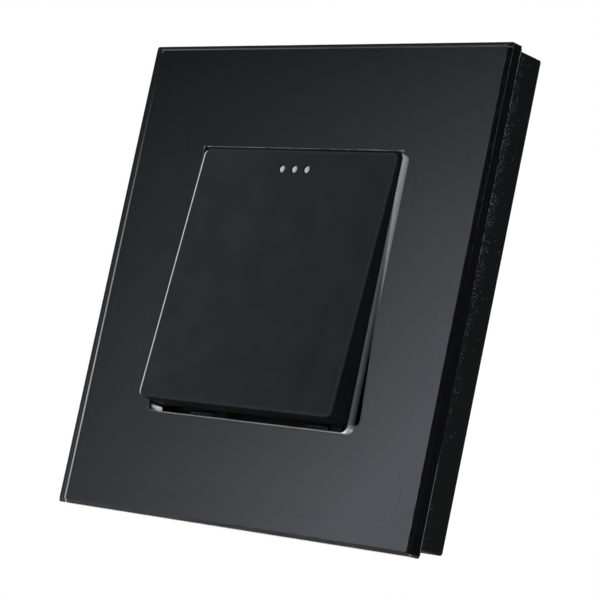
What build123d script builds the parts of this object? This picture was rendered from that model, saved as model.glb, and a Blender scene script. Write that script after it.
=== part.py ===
from build123d import *
from math import cos, radians, sin, tau
import os

# Square glass wall switch with one big hinged key that drives a small power generator.
# X points right, Z up, and the wall is the plane Y = 0. Distances off the wall are positive
# numbers called "out", so a point at "out" lies at Y = -out. All sizes are millimetres.

# Glass front
GLASS_SIDE = 86.0
GLASS_THICK = 3.2
GLASS_FRONT = 9.3
GLASS_FRONT_BEVEL_WIDTH = 0.65
GLASS_FRONT_BEVEL_DEPTH = 0.75
GLASS_REAR_BEVEL = 0.45
GLASS_CORNER = 0.4
GLASS_WINDOW_ARRIS = 0.1
BACKING_THICK = 0.2

# Window in the glass, a little lower than the middle of the plate
WINDOW_SIDE = 48.35
WINDOW_CORNER = 1.3
WINDOW_DROP = 0.35

# Carrier frame behind the glass, a little higher than the glass
CARRIER_SIDE = 84.0
CARRIER_RISE = 0.5
CARRIER_CORNER = 0.5
CARRIER_WALL = 2.2
CARRIER_WEB = 1.2
CUP_INSIDE = 49.4
CUP_WALL = 1.2
CUP_CORNER = 1.0
FLOOR_BACK = 1.3
FLOOR_FRONT = 2.4
RIB_PLACES = (-24.0, -12.0, 0.0, 12.0, 24.0)
RIB_THICK = 1.0
RIB_HEIGHT = 1.4
MIDDLE_RIB_HEIGHT = 1.0
BLEND = 0.2
PILLAR_SIDE = 3.6
PILOT_R = 0.8
PILOT_END = FLOOR_BACK + 0.3
REST_PILLAR_X = 17.3
REST_PILLAR_Z = 18.2
REST_PILLAR_SIDE = 2.8
PRY_WIDTH = 10.0
PRY_DEPTH = 1.4

# Snap catches in the frame for the hooks of the wall plate, two above and two below
CATCH_X = 18.0
CATCH_WIDTH = 7.0
CATCH_REACH = 1.2
CATCH_BACK = 2.0
CATCH_FRONT = 3.2

# Key, drawn parallel to the glass and then tilted about its hinge to where it rests
KEY_WIDTH = 47.0
KEY_HEIGHT = 46.4
KEY_CORNER = 1.2
KEY_EDGE = 0.2
KEY_FACE_THICK = 1.8
KEY_SIDE_WALL = 1.4
KEY_END_WALL = 1.2
KEY_DEPTH = 5.6
HINGE_Z = 19.3
HINGE_OUT = 5.0
KEY_TOP_ABOVE_HINGE = 3.84
KEY_FACE_ABOVE_HINGE = 4.96
KEY_REST_TILT = 4.25
KEY_INNER_CORNER = 0.5
KEY_RIB_THICK = 0.8
KEY_RIB_DEPTH = 0.9
HINGE_PIN_R = 0.8
HINGE_RUN = 0.05
LUG_INNER_X = 20.3
LUG_OUTER_X = 21.7
LUG_R = 1.9
LUG_MOUTH = 1.3

# Stop hooks on the key and the ledges they catch, left and right of the middle
HOOK_X = 14.0
HOOK_WIDTH = 4.0
HOOK_THICK = 1.0
HOOK_END = 1.36
HOOK_LIP = 0.6
HOOK_REACH = 0.8
LEDGE_WIDTH = 5.6
LEDGE_BACK = 5.25
LEDGE_REACH = 1.6
HOOK_SLOT_WIDTH = 5.2
HOOK_SLOT_LENGTH = 2.9

# Return springs, left and right of the middle
SPRING_X = 18.0
SPRING_Z = -8.0
SPRING_POST_R = 1.2
SPRING_POST_HEIGHT = 1.2
SPRING_WIRE = 0.36
SPRING_R = 1.85
SPRING_TURNS = 5
SPRING_STEPS = 10
SPRING_SEAT = 0.02
SPRING_HEADROOM = 0.2

# Soft pads that the pressed key lands on
PAD_X = 20.0
PAD_ALONG = 3.2
PAD_ACROSS = 1.6
PAD_CHAMFER = 0.25
PAD_GAP = 0.1

# Fork on the key that moves the leaf, and the pocket above the rotor
FORK_X0 = 17.9
FORK_X1 = 21.3
FORK_SLOT = 0.8
FORK_WIDTH = 3.0
FORK_LIP = 0.7
FORK_CLOSED_END = 0.9
RELIEF_DEPTH = 0.4
RELIEF_X0 = -14.8
RELIEF_X1 = 1.0
RELIEF_HALF = 3.6

# Indicator light guides
GUIDE_R = 0.75
GUIDE_PITCH = 3.0
GUIDE_ABOVE_HINGE = 0.4
GUIDE_RECESS = 0.25
GUIDE_COLLAR_R = 1.15
GUIDE_COLLAR = 0.6

# Power generator
ROTOR_X = -4.5
ROTOR_OUT = 5.5
ROTOR_Z = -16.5
ROTOR_SWING = 6.4
MAGNET_THICK = 2.3
MAGNET_LENGTH = 8.0
MAGNET_WIDTH = 4.0
POLE_THICK = 0.8
POLE_LENGTH = 18.0
POLE_WIDTH = 5.0
LEAF_THICK = 0.3
LEAF_REACH = 23.48
LEAF_TIP = 0.6
LEAF_TAIL = 6.2
LEAF_SHOULDER = 7.0
LEAF_ROOT_HALF = 2.1
LEAF_TIP_HALF = 1.3
LEAF_CORNER = 0.5
ROTOR_LENGTH = 10.8
ROTOR_CORNER = 0.8
ROTOR_PIN_R = 0.6
ROTOR_PIN_LENGTH = 1.0
ROTOR_RUN = 0.05
CORE_SHEET = 0.4
CORE_SHEETS = 3
CORE_WIDTH = 3.0
CORE_SPREAD = 7.5
CORE_TOP_Z = -0.2
CORE_END_Z = -18.8
STAKE_X = 4.8
STAKE_SIDE = 0.75
ROTOR_HALF = 3.1
BOBBIN_X0 = -10.2
BOBBIN_X1 = 1.2
SPOOL_Z = 3.9
SPOOL_OUT = 2.1
SPOOL_RUN = 0.1
FLANGE_THICK = 0.6
FLANGE_Z = 8.4
FLANGE_OUT = 4.7
FLANGE_CORNER = 0.5
COIL_Z = 7.9
COIL_OUT = 4.3
COIL_CORNER = 1.0
LEAD_WIDTH = 0.26
LEAD_INSET = 0.8
LEAD_STRAIGHT = 1.2
LEAD_DROP = 1.2
LEAD_LAND = 1.0

# Tray of the generator, with its core seats, bearing lugs and screw ears
TRAY_FRONT = 2.9
TRAY_SIDE = 3.2
TRAY_LOW = -21.6
TRAY_HIGH = 3.0
TRAY_CORNER = 1.5
TRAY_HOLE_INSET = 1.2
TRAY_HOLE_LOW = -11.5
TRAY_HOLE_HIGH = -7.5
SEAT_LOW = -12.0
SEAT_LIP = 0.9
SEAT_STOP_HALF = 1.0
BEARING_HALF = 1.3
BEARING_THICK = 0.8
LUG_GAP = 0.2
EAR_BACK = 3.4
EAR_THICK = 0.8
EAR_HALF = 1.7
EAR_HOLE_R = 0.9
EAR_LEFT_ARM = 3.2
EAR_RIGHT_ARM = -3.0
EAR_ROOT_SHARE = 0.6

# Small screws
SCREW_R = 0.8
SCREW_HEAD_R = 1.6
SCREW_HEAD = 0.9
SCREW_TIP = FLOOR_BACK + 0.4

# Circuit board and its cover
BOARD_BACK = 3.2
BOARD_THICK = 1.0
BOARD_FRONT = BOARD_BACK + BOARD_THICK
BOARD_HALF = 19.0
BOARD_LOW = 4.6
BOARD_HIGH = 20.9
BOARD_HOLE_R = 1.1
COVER_HALF = 20.0
COVER_LOW = 3.6
COVER_HIGH = 21.2
COVER_CORNER = 1.2
COVER_WALL = 0.8
COVER_CHAMFER = 0.3
COVER_GAP = 0.2
COVER_BACK = 6.0
COVER_FRONT = 6.7
COVER_SEAT = 6.1
COVER_SEAT_R = 2.0
COVER_PILLAR_R = 2.4
WELL_BLOCK_LENGTH = 9.0
WELL_BLOCK_WIDTH = 2.9
WELL_BORE_R = 1.15
WELL_BACK = 0.8
COVER_SCREWS = [(-17.3, 7.2), (17.3, 7.2)]
TRAY_SCREWS = [(-17.4, -3.0), (-17.4, -19.6), (8.4, -9.0)]

# Components on the board: X and Z of a middle or an edge, and heights above the board
CAN_X0 = -14.5
CAN_X1 = -4.5
CAN_LOW = 8.4
CAN_HIGH = 16.9
CAN_HEIGHT = 1.5
CAN_SHEET = 0.2
CHIP_X = -9.5
CHIP_Z = 12.6
CHIP_SIDE = 5.0
CHIP_HEIGHT = 0.85
CHIP_CHAMFER = 0.1
AERIAL_X0 = 6.6
AERIAL_X1 = 17.4
AERIAL_LOW = 17.4
AERIAL_HIGH = 19.2
AERIAL_HEIGHT = 1.3
AERIAL_SHEET = 0.2
AERIAL_SLOT = 0.4
AERIAL_SLOT_X = 9.4
AERIAL_LEG = 0.3
AERIAL_LEG_PITCH = 1.8
LAMP_WIDTH = 1.6
LAMP_DEPTH = 0.8
LAMP_BASE = 0.25
LAMP_LENS = 0.4
LAMP_LENS_WIDTH = 1.0
CAPACITOR_PLACES = (1.2, 6.4)
CAPACITOR_Z = 10.2
CAPACITOR_WIDTH = 3.6
CAPACITOR_DEPTH = 3.0
CAPACITOR_HEIGHT = 1.6
CAPACITOR_CHAMFER = 0.2
DIODE_COUNT = 4
DIODE_X = 11.0
DIODE_PITCH = 2.1
DIODE_Z = 12.6
DIODE_WIDTH = 1.3
DIODE_LENGTH = 2.5
DIODE_HEIGHT = 1.0
DIODE_CHAMFER = 0.15

# Wall plate
PLATE_SIDE = 77.0
PLATE_CORNER = 4.0
PLATE_THICK = 1.2
SCREW_SPACING = 60.3
SLOT_WIDTH = 4.4
SLOT_LENGTH = 8.0
TAPE_THICK = 0.6
TAPE_CENTRES = (-19.5, 19.5)
TAPE_LENGTH = 52.0
TAPE_WIDTH = 11.0
TAPE_GAP = 0.3
PLATE_HOOK_WIDTH = 6.0
PLATE_HOOK_THICK = 1.1
PLATE_HOOK_REACH = 0.75
PLATE_HOOK_BACK = 3.3
PLATE_HOOK_FRONT = 4.2

GLASS_BACK = GLASS_FRONT - GLASS_THICK
CARRIER_FRONT = GLASS_BACK - BACKING_THICK
KEY_TOP = HINGE_Z + KEY_TOP_ABOVE_HINGE
KEY_MIDDLE = KEY_TOP - KEY_HEIGHT / 2
KEY_BOTTOM = KEY_TOP - KEY_HEIGHT
KEY_FACE = HINGE_OUT + KEY_FACE_ABOVE_HINGE
KEY_UNDER = KEY_FACE - KEY_FACE_THICK
KEY_REAR = KEY_FACE - KEY_DEPTH
YOKE_Z = CORE_TOP_Z - CORE_WIDTH / 2
CORE_HALF = CORE_SHEET * CORE_SHEETS / 2
LEFT_LEG_X = ROTOR_X - CORE_SPREAD
RIGHT_LEG_X = ROTOR_X + CORE_SPREAD
POLE_FRONT = MAGNET_THICK / 2 + POLE_THICK
LEAF_MIDDLE = POLE_FRONT + LEAF_THICK / 2
GUIDE_Z = HINGE_Z + GUIDE_ABOVE_HINGE

WALL = Plane(origin=(0, 0, 0), x_dir=(1, 0, 0), z_dir=(0, -1, 0))
HINGE = Axis((0, -HINGE_OUT, HINGE_Z), (1, 0, 0))
ROTOR = Axis((ROTOR_X, -ROTOR_OUT, 0), (0, 0, 1))


def raised(sketch, back, front):
    """Push a sketch drawn in X and Z from one distance off the wall to another."""
    return extrude(WALL.offset(back) * sketch, front - back)


def place(shape, x, z):
    """Move a sketch to a point given in X and Z."""
    return Pos(x, z) * shape


def span(x0, x1, z0, z1):
    """Rectangle between two X and two Z values."""
    return Pos((x0 + x1) / 2, (z0 + z1) / 2) * Rectangle(x1 - x0, z1 - z0)


def rounded_span(x0, x1, z0, z1, corner):
    """Rectangle with rounded corners between two X and two Z values."""
    return Pos((x0 + x1) / 2, (z0 + z1) / 2) * RectangleRounded(x1 - x0, z1 - z0, corner)


def pin_along_x(x0, x1, out, z, radius):
    """Round pin whose axis runs along X."""
    return Pos((x0 + x1) / 2, -out, z) * Rot(0, 90, 0) * Cylinder(radius, x1 - x0)


def pin_along_z(z0, z1, x, out, radius):
    """Round pin whose axis runs along Z."""
    return Pos(x, -out, (z0 + z1) / 2) * Cylinder(radius, z1 - z0)


def pin_outwards(back, front, x, z, radius):
    """Round pin that stands straight off the wall."""
    return raised(place(Circle(radius), x, z), back, front)


def edges_at(shape, out):
    """Edges that lie wholly at one distance off the wall."""
    return [e for e in shape.edges() if all(abs(v.Y + out) < 1e-4 for v in e.vertices())]


def tilted_to_rest(shape):
    """Turn a key piece from parallel with the glass to where the key rests."""
    return shape.rotate(HINGE, -KEY_REST_TILT)


def rocked_to_rest(shape):
    """Turn a rotor piece from level to where the rotor rests."""
    return shape.rotate(ROTOR, -ROTOR_SWING / 2)


def window_shape():
    """Outline of the window in the glass."""
    return place(RectangleRounded(WINDOW_SIDE, WINDOW_SIDE, WINDOW_CORNER), 0, -WINDOW_DROP)


def glass_plate():
    """Clear plate with mitred bevels and a square window with ground walls."""
    blank = raised(Rectangle(GLASS_SIDE, GLASS_SIDE), GLASS_BACK, GLASS_FRONT)
    front = blank.faces().sort_by(Axis.Y)[0]
    rim = edges_at(blank, GLASS_FRONT)
    blank = chamfer(rim, GLASS_FRONT_BEVEL_WIDTH, GLASS_FRONT_BEVEL_DEPTH, reference=front)
    blank = chamfer(edges_at(blank, GLASS_BACK), GLASS_REAR_BEVEL)
    blank &= raised(RectangleRounded(GLASS_SIDE, GLASS_SIDE, GLASS_CORNER), GLASS_BACK, GLASS_FRONT)
    plate = blank - raised(window_shape(), GLASS_BACK, GLASS_FRONT)
    limit = WINDOW_SIDE / 2 + 1
    arris = [e for e in edges_at(plate, GLASS_FRONT) if all(abs(v.X) < limit for v in e.vertices())]
    return chamfer(arris, GLASS_WINDOW_ARRIS)


def glass_backing():
    """Black bonding sheet that covers the whole rear of the glass."""
    side = GLASS_SIDE - 2 * GLASS_REAR_BEVEL
    return raised(Rectangle(side, side) - window_shape(), CARRIER_FRONT, GLASS_BACK)


def hinge_lug(side):
    """Upright ear of the cup whose open bore takes one hinge pin of the key."""
    foot = Rectangle(2 * LUG_R, HINGE_OUT - FLOOR_FRONT, align=(Align.CENTER, Align.MAX))
    across = Plane(origin=(0, -HINGE_OUT, HINGE_Z), x_dir=(0, 0, 1), z_dir=(1, 0, 0))
    start = LUG_INNER_X if side > 0 else -LUG_OUTER_X
    end = start + LUG_OUTER_X - LUG_INNER_X
    ear = extrude(across.offset(start) * (foot + Circle(LUG_R)), end - start)
    ear -= pin_along_x(start - 1, end + 1, HINGE_OUT, HINGE_Z, HINGE_PIN_R + HINGE_RUN)
    mouth = span(start - 1, end + 1, HINGE_Z - LUG_MOUTH / 2, HINGE_Z + LUG_MOUTH / 2)
    return ear - raised(mouth, HINGE_OUT, HINGE_OUT + LUG_R + 1)


def frame_shell():
    """Outer rim, front web and cup of the frame."""
    rim_inside = CARRIER_SIDE - 2 * CARRIER_WALL
    cup_outside = CUP_INSIDE + 2 * CUP_WALL
    outline = place(RectangleRounded(CARRIER_SIDE, CARRIER_SIDE, CARRIER_CORNER), 0, CARRIER_RISE)
    hollow = place(Rectangle(rim_inside, rim_inside), 0, CARRIER_RISE)
    cup = place(RectangleRounded(cup_outside, cup_outside, CUP_CORNER + CUP_WALL), 0, -WINDOW_DROP)
    cup_hollow = place(RectangleRounded(CUP_INSIDE, CUP_INSIDE, CUP_CORNER), 0, -WINDOW_DROP)
    web_back = CARRIER_FRONT - CARRIER_WEB
    shell = raised(outline, 0, CARRIER_FRONT) - raised(hollow, 0, web_back)
    shell += raised(cup, FLOOR_BACK, web_back)
    return shell - raised(cup_hollow, FLOOR_FRONT, CARRIER_FRONT)


def frame_ribs():
    """Ribs between the rim and the cup on all four sides, with a lower one in each middle."""
    web_back = CARRIER_FRONT - CARRIER_WEB
    inner = CUP_INSIDE / 2 + CUP_WALL / 2
    outer = CARRIER_SIDE / 2 - CARRIER_WALL / 2
    ribs = []
    for turn in range(4):
        for along in RIB_PLACES:
            height = RIB_HEIGHT if along else MIDDLE_RIB_HEIGHT
            rib = span(inner, outer, along - RIB_THICK / 2, along + RIB_THICK / 2)
            ribs.append(Rot(0, 90 * turn, 0) * raised(rib, web_back - height, web_back))
    return ribs


def frame_catches():
    """Catches on the rim's inside that the wall plate's hooks snap behind."""
    rim = CARRIER_SIDE / 2 - CARRIER_WALL
    catches = []
    for x in (-CATCH_X, CATCH_X):
        for side in (-1, 1):
            low, high = sorted((side * (rim + BLEND), side * (rim - CATCH_REACH)))
            shape = span(x - CATCH_WIDTH / 2, x + CATCH_WIDTH / 2, CARRIER_RISE + low, CARRIER_RISE + high)
            catches.append(raised(shape, CATCH_BACK, CATCH_FRONT))
    return catches


def carrier_frame():
    """Moulded frame: a rim, a front web behind the glass and a cup for the works."""
    frame = frame_shell()
    for piece in frame_ribs() + frame_catches():
        frame += piece
    cup_low = -WINDOW_DROP - CUP_INSIDE / 2
    for x in (-HOOK_X, HOOK_X):
        ledge = span(x - LEDGE_WIDTH / 2, x + LEDGE_WIDTH / 2, cup_low - BLEND, cup_low + LEDGE_REACH)
        frame += raised(ledge, LEDGE_BACK, CARRIER_FRONT)
        slot = span(x - HOOK_SLOT_WIDTH / 2, x + HOOK_SLOT_WIDTH / 2, cup_low, cup_low + HOOK_SLOT_LENGTH)
        frame -= raised(slot, FLOOR_BACK, FLOOR_FRONT)
    for x in (-SPRING_X, SPRING_X):
        frame += pin_outwards(FLOOR_FRONT, FLOOR_FRONT + SPRING_POST_HEIGHT, x, SPRING_Z, SPRING_POST_R)
    for side in (-1, 1):
        frame += hinge_lug(side)
    for x in (-REST_PILLAR_X, REST_PILLAR_X):
        post = place(Rectangle(REST_PILLAR_SIDE, REST_PILLAR_SIDE), x, REST_PILLAR_Z)
        frame += raised(post, FLOOR_FRONT, BOARD_BACK)
    pillars = [(x, z, PILLAR_SIDE, BOARD_BACK) for x, z in COVER_SCREWS]
    pillars += [(x, z, 2 * EAR_HALF, EAR_BACK) for x, z in TRAY_SCREWS]
    for x, z, side, top in pillars:
        frame += raised(place(Rectangle(side, side), x, z), FLOOR_FRONT, top)
        frame -= pin_outwards(PILOT_END, top, x, z, PILOT_R)
    lower_edge = CARRIER_RISE - CARRIER_SIDE / 2
    pry = span(-PRY_WIDTH / 2, PRY_WIDTH / 2, lower_edge - 1, lower_edge + PRY_DEPTH)
    return frame - raised(pry, 0, PRY_DEPTH)


def guide_places():
    """X of each light guide, from left to right."""
    return [GUIDE_PITCH * step for step in (-1, 0, 1)]


def fork_centre():
    """Place of the leaf's tip, as seen from the key while it is parallel with the glass."""
    swing = radians(ROTOR_SWING / 2)
    tilt = radians(KEY_REST_TILT)
    tip_out = ROTOR_OUT + LEAF_REACH * sin(swing) + LEAF_MIDDLE * cos(swing)
    down = HINGE_Z - ROTOR_Z
    up = tip_out - HINGE_OUT
    return HINGE_Z - (down * cos(tilt) + up * sin(tilt)), HINGE_OUT + up * cos(tilt) - down * sin(tilt)


def key_ribs():
    """Stiffening ribs under the key's face, clear of the works below."""
    inside = KEY_WIDTH / 2 - KEY_SIDE_WALL + BLEND
    top = KEY_TOP - KEY_END_WALL + BLEND
    low = KEY_BOTTOM + KEY_END_WALL - BLEND
    left = RELIEF_X0 - KEY_RIB_THICK / 2 - BLEND
    right = 8.5
    upright = [(left, low, top), (right, low, ROTOR_Z - 2.9), (right, ROTOR_Z + 2.9, top)]
    level = [(13.0, -inside, inside), (-12.0, -inside, left), (-12.0, right, inside)]
    half = KEY_RIB_THICK / 2
    lines = [span(x - half, x + half, z0, z1) for x, z0, z1 in upright]
    lines += [span(x0, x1, z - half, z + half) for z, x0, x1 in level]
    return [raised(line, KEY_UNDER - KEY_RIB_DEPTH, KEY_UNDER + BLEND) for line in lines]


def stop_hook(x):
    """Leg on the key's lower wall whose lip stops behind a ledge of the frame."""
    leg = span(x - HOOK_WIDTH / 2, x + HOOK_WIDTH / 2, KEY_BOTTOM, KEY_BOTTOM + HOOK_THICK)
    lip = span(x - HOOK_WIDTH / 2, x + HOOK_WIDTH / 2, KEY_BOTTOM - HOOK_REACH, KEY_BOTTOM + BLEND)
    return raised(leg, HOOK_END, KEY_REAR + 1) + raised(lip, HOOK_END, HOOK_END + HOOK_LIP)


def leaf_fork():
    """Block under the key with the slot that holds the leaf's tip."""
    middle_z, middle_out = fork_centre()
    block = span(FORK_X0, FORK_X1, middle_z - FORK_WIDTH / 2, middle_z + FORK_WIDTH / 2)
    slot = span(FORK_X0 - 1, FORK_X1 - FORK_CLOSED_END, middle_z - FORK_WIDTH, middle_z + FORK_WIDTH)
    fork = raised(block, middle_out - FORK_SLOT / 2 - FORK_LIP, KEY_UNDER + BLEND)
    return fork - raised(slot, middle_out - FORK_SLOT / 2, middle_out + FORK_SLOT / 2)


def key():
    """Big key: a thin-walled cap with ribs, hinge pins, stop hooks and the fork for the leaf."""
    outline = place(RectangleRounded(KEY_WIDTH, KEY_HEIGHT, KEY_CORNER), 0, KEY_MIDDLE)
    inside_width = KEY_WIDTH - 2 * KEY_SIDE_WALL
    hollow = RectangleRounded(inside_width, KEY_HEIGHT - 2 * KEY_END_WALL, KEY_INNER_CORNER)
    cap = raised(outline, KEY_REAR, KEY_FACE)
    cap = chamfer(edges_at(cap, KEY_FACE), KEY_EDGE)
    cap -= raised(place(hollow, 0, KEY_MIDDLE), KEY_REAR, KEY_UNDER)
    for rib in key_ribs():
        cap += rib
    pin_root = inside_width / 2 + BLEND
    for x0, x1 in ((-pin_root, -LUG_INNER_X), (LUG_INNER_X, pin_root)):
        cap += pin_along_x(x0, x1, HINGE_OUT, HINGE_Z, HINGE_PIN_R)
    for x in (-HOOK_X, HOOK_X):
        cap += stop_hook(x)
    cap += leaf_fork()
    for x in guide_places():
        cap -= pin_outwards(KEY_UNDER, KEY_FACE, x, GUIDE_Z, GUIDE_R)
    relief = span(RELIEF_X0, RELIEF_X1, ROTOR_Z - RELIEF_HALF, ROTOR_Z + RELIEF_HALF)
    cap -= raised(relief, KEY_UNDER - 1, KEY_UNDER + RELIEF_DEPTH)
    return tilted_to_rest(cap)


def light_guides():
    """Three milky plugs that carry the lamps' light to the key's face."""
    guides = []
    for x in guide_places():
        collar_back = KEY_UNDER - GUIDE_COLLAR
        guide = pin_outwards(KEY_UNDER, KEY_FACE - GUIDE_RECESS, x, GUIDE_Z, GUIDE_R)
        guide += pin_outwards(collar_back, KEY_UNDER, x, GUIDE_Z, GUIDE_COLLAR_R)
        guides.append(tilted_to_rest(guide))
    return Compound(children=guides)


def key_stop_pads():
    """Two soft blocks on the cup's floor that the pressed key lands on."""
    top = KEY_REAR - PAD_GAP
    pads = []
    for x in (-PAD_X, PAD_X):
        shape = place(Rectangle(PAD_ALONG, PAD_ACROSS), x, KEY_BOTTOM + PAD_ACROSS / 2)
        pad = raised(shape, FLOOR_FRONT, top)
        pads.append(chamfer(edges_at(pad, top), PAD_CHAMFER))
    return Compound(children=pads)


def key_return_springs():
    """Two coil springs that push the key back out, drawn with square wire in short straight pieces."""
    tilt = radians(KEY_REST_TILT)
    under = HINGE_OUT + (HINGE_Z - SPRING_Z) * sin(tilt) + (KEY_UNDER - HINGE_OUT) * cos(tilt)
    height = under - FLOOR_FRONT - SPRING_HEADROOM - SPRING_WIRE
    rise = height / (SPRING_TURNS * SPRING_STEPS)
    seat = FLOOR_FRONT + SPRING_WIRE / 2 + SPRING_SEAT
    bends = []
    for step in range(SPRING_TURNS * SPRING_STEPS + 1):
        angle = tau * step / SPRING_STEPS
        bends.append((SPRING_R * cos(angle), -seat - rise * step, SPRING_R * sin(angle)))
    path = Polyline(*bends)
    wire = Plane(origin=path.position_at(0), z_dir=path.tangent_at(0)) * Rectangle(SPRING_WIRE, SPRING_WIRE)
    coil = sweep(wire, path=path, transition=Transition.RIGHT)
    return Compound(children=[Pos(x, 0, SPRING_Z) * coil for x in (-SPRING_X, SPRING_X)])


def board_cover():
    """Thin cover over the board with a skirt, screw pillars and wells for the lamps."""
    back = BOARD_FRONT + COVER_GAP
    outline = rounded_span(-COVER_HALF, COVER_HALF, COVER_LOW, COVER_HIGH, COVER_CORNER)
    hollow = span(
        COVER_WALL - COVER_HALF, COVER_HALF - COVER_WALL, COVER_LOW + COVER_WALL, COVER_HIGH - COVER_WALL)
    cover = raised(outline, back, COVER_FRONT)
    cover = chamfer(edges_at(cover, COVER_FRONT), COVER_CHAMFER)
    cover -= raised(hollow, back, COVER_BACK)
    lead_gap = span(LEFT_LEG_X + 1, RIGHT_LEG_X - 1, COVER_LOW - 1, COVER_LOW + 1)
    cover -= raised(lead_gap, BOARD_FRONT, COVER_BACK - 0.4)
    for x, z in COVER_SCREWS:
        cover += pin_outwards(BOARD_FRONT, COVER_SEAT, x, z, COVER_PILLAR_R)
        cover -= pin_outwards(BOARD_FRONT, COVER_FRONT, x, z, BOARD_HOLE_R)
        cover -= pin_outwards(COVER_SEAT, COVER_FRONT, x, z, COVER_SEAT_R)
    wells = place(Rectangle(WELL_BLOCK_LENGTH, WELL_BLOCK_WIDTH), 0, GUIDE_Z)
    cover += raised(wells, BOARD_FRONT + WELL_BACK, COVER_SEAT)
    for x in guide_places():
        cover -= pin_outwards(BOARD_FRONT, COVER_FRONT, x, GUIDE_Z, WELL_BORE_R)
    return cover


def pan_screw(x, z, seat):
    """Small pan-head screw, drawn as a plain shank and a plain head."""
    shank = pin_outwards(SCREW_TIP, seat, x, z, SCREW_R)
    return shank + pin_outwards(seat, seat + SCREW_HEAD, x, z, SCREW_HEAD_R)


def cover_screws():
    """Screws that clamp the cover and the board to the cup."""
    return Compound(children=[pan_screw(x, z, COVER_SEAT) for x, z in COVER_SCREWS])


def generator_screws():
    """Screws that hold the generator's tray to the cup."""
    return Compound(children=[pan_screw(x, z, EAR_BACK + EAR_THICK) for x, z in TRAY_SCREWS])


def on_board(sketch, height):
    """Push a component's outline up from the board's front."""
    return raised(sketch, BOARD_FRONT, BOARD_FRONT + height)


def circuit_board():
    """Main board with its screw holes."""
    board = span(-BOARD_HALF, BOARD_HALF, BOARD_LOW, BOARD_HIGH)
    for x, z in COVER_SCREWS:
        board -= place(Circle(BOARD_HOLE_R), x, z)
    return raised(board, BOARD_BACK, BOARD_FRONT)


def shield_can():
    """Folded metal lid over the radio part, open towards the board."""
    outline = span(CAN_X0, CAN_X1, CAN_LOW, CAN_HIGH)
    hollow = offset(outline, -CAN_SHEET)
    can = on_board(outline, CAN_HEIGHT)
    can = chamfer(edges_at(can, BOARD_FRONT + CAN_HEIGHT), CAN_SHEET)
    return can - on_board(hollow, CAN_HEIGHT - CAN_SHEET)


def radio_chip():
    """Flat square radio chip under the shield."""
    chip = on_board(place(Rectangle(CHIP_SIDE, CHIP_SIDE), CHIP_X, CHIP_Z), CHIP_HEIGHT)
    return chamfer(edges_at(chip, BOARD_FRONT + CHIP_HEIGHT), CHIP_CHAMFER)


def antenna():
    """Stamped strip aerial that stands on two legs."""
    slot_low = (AERIAL_LOW + AERIAL_HIGH - AERIAL_SLOT) / 2
    outline = span(AERIAL_X0, AERIAL_X1, AERIAL_LOW, AERIAL_HIGH)
    outline -= span(AERIAL_SLOT_X, AERIAL_X1 + 1, slot_low, slot_low + AERIAL_SLOT)
    strip = on_board(outline, AERIAL_HEIGHT) - on_board(outline, AERIAL_HEIGHT - AERIAL_SHEET)
    for x in (AERIAL_X0, AERIAL_X0 + AERIAL_LEG_PITCH):
        leg = span(x, x + AERIAL_LEG, AERIAL_LOW + BLEND, AERIAL_HIGH - BLEND)
        strip += on_board(leg, AERIAL_HEIGHT)
    return strip


def indicator_leds():
    """Three surface lamps under the light guides."""
    lamps = []
    for x in guide_places():
        lamp = on_board(place(Rectangle(LAMP_WIDTH, LAMP_DEPTH), x, GUIDE_Z), LAMP_BASE)
        lens = place(Rectangle(LAMP_LENS_WIDTH, LAMP_DEPTH), x, GUIDE_Z)
        lamp += extrude(WALL.offset(BOARD_FRONT + LAMP_BASE) * lens, LAMP_LENS, taper=10)
        lamps.append(lamp)
    return Compound(children=lamps)


def storage_capacitors():
    """Two moulded capacitors that store the pulse."""
    bodies = []
    for x in CAPACITOR_PLACES:
        body = on_board(place(Rectangle(CAPACITOR_WIDTH, CAPACITOR_DEPTH), x, CAPACITOR_Z), CAPACITOR_HEIGHT)
        bodies.append(chamfer(edges_at(body, BOARD_FRONT + CAPACITOR_HEIGHT), CAPACITOR_CHAMFER))
    return Compound(children=bodies)


def rectifier_diodes():
    """Four small diodes in a row."""
    bodies = []
    for step in range(DIODE_COUNT):
        outline = place(Rectangle(DIODE_WIDTH, DIODE_LENGTH), DIODE_X + DIODE_PITCH * step, DIODE_Z)
        body = on_board(outline, DIODE_HEIGHT)
        bodies.append(chamfer(edges_at(body, BOARD_FRONT + DIODE_HEIGHT), DIODE_CHAMFER))
    return Compound(children=bodies)


def coil_leads():
    """Two enamelled wires from the bobbin to the board, with a square section for the round wire."""
    wires = []
    bobbin_out = ROTOR_OUT - LEAD_INSET
    board_out = BOARD_FRONT + LEAD_WIDTH / 2 + 0.01
    first = YOKE_Z + FLANGE_Z / 2
    for x in (BOBBIN_X0 + FLANGE_THICK / 2, BOBBIN_X1 - FLANGE_THICK / 2):
        start = (x, -bobbin_out, first)
        bend = (x, -bobbin_out, first + LEAD_STRAIGHT)
        land = (x, -board_out, first + LEAD_STRAIGHT + LEAD_DROP)
        end = (x, -board_out, first + LEAD_STRAIGHT + LEAD_DROP + LEAD_LAND)
        path = FilletPolyline(start, bend, land, end, radius=LEAD_STRAIGHT)
        wire = Plane(origin=start, z_dir=(0, 0, 1)) * Rectangle(LEAD_WIDTH, LEAD_WIDTH)
        wires.append(sweep(wire, path=path))
    return Compound(children=wires)


def along_yoke(x0, x1, shape):
    """Bar round the yoke between two X values, whose shape is drawn as Z by out."""
    across = Plane(origin=(0, -ROTOR_OUT, YOKE_Z), x_dir=(0, 0, 1), z_dir=(1, 0, 0))
    return extrude(across.offset(x0) * shape, x1 - x0)


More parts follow.
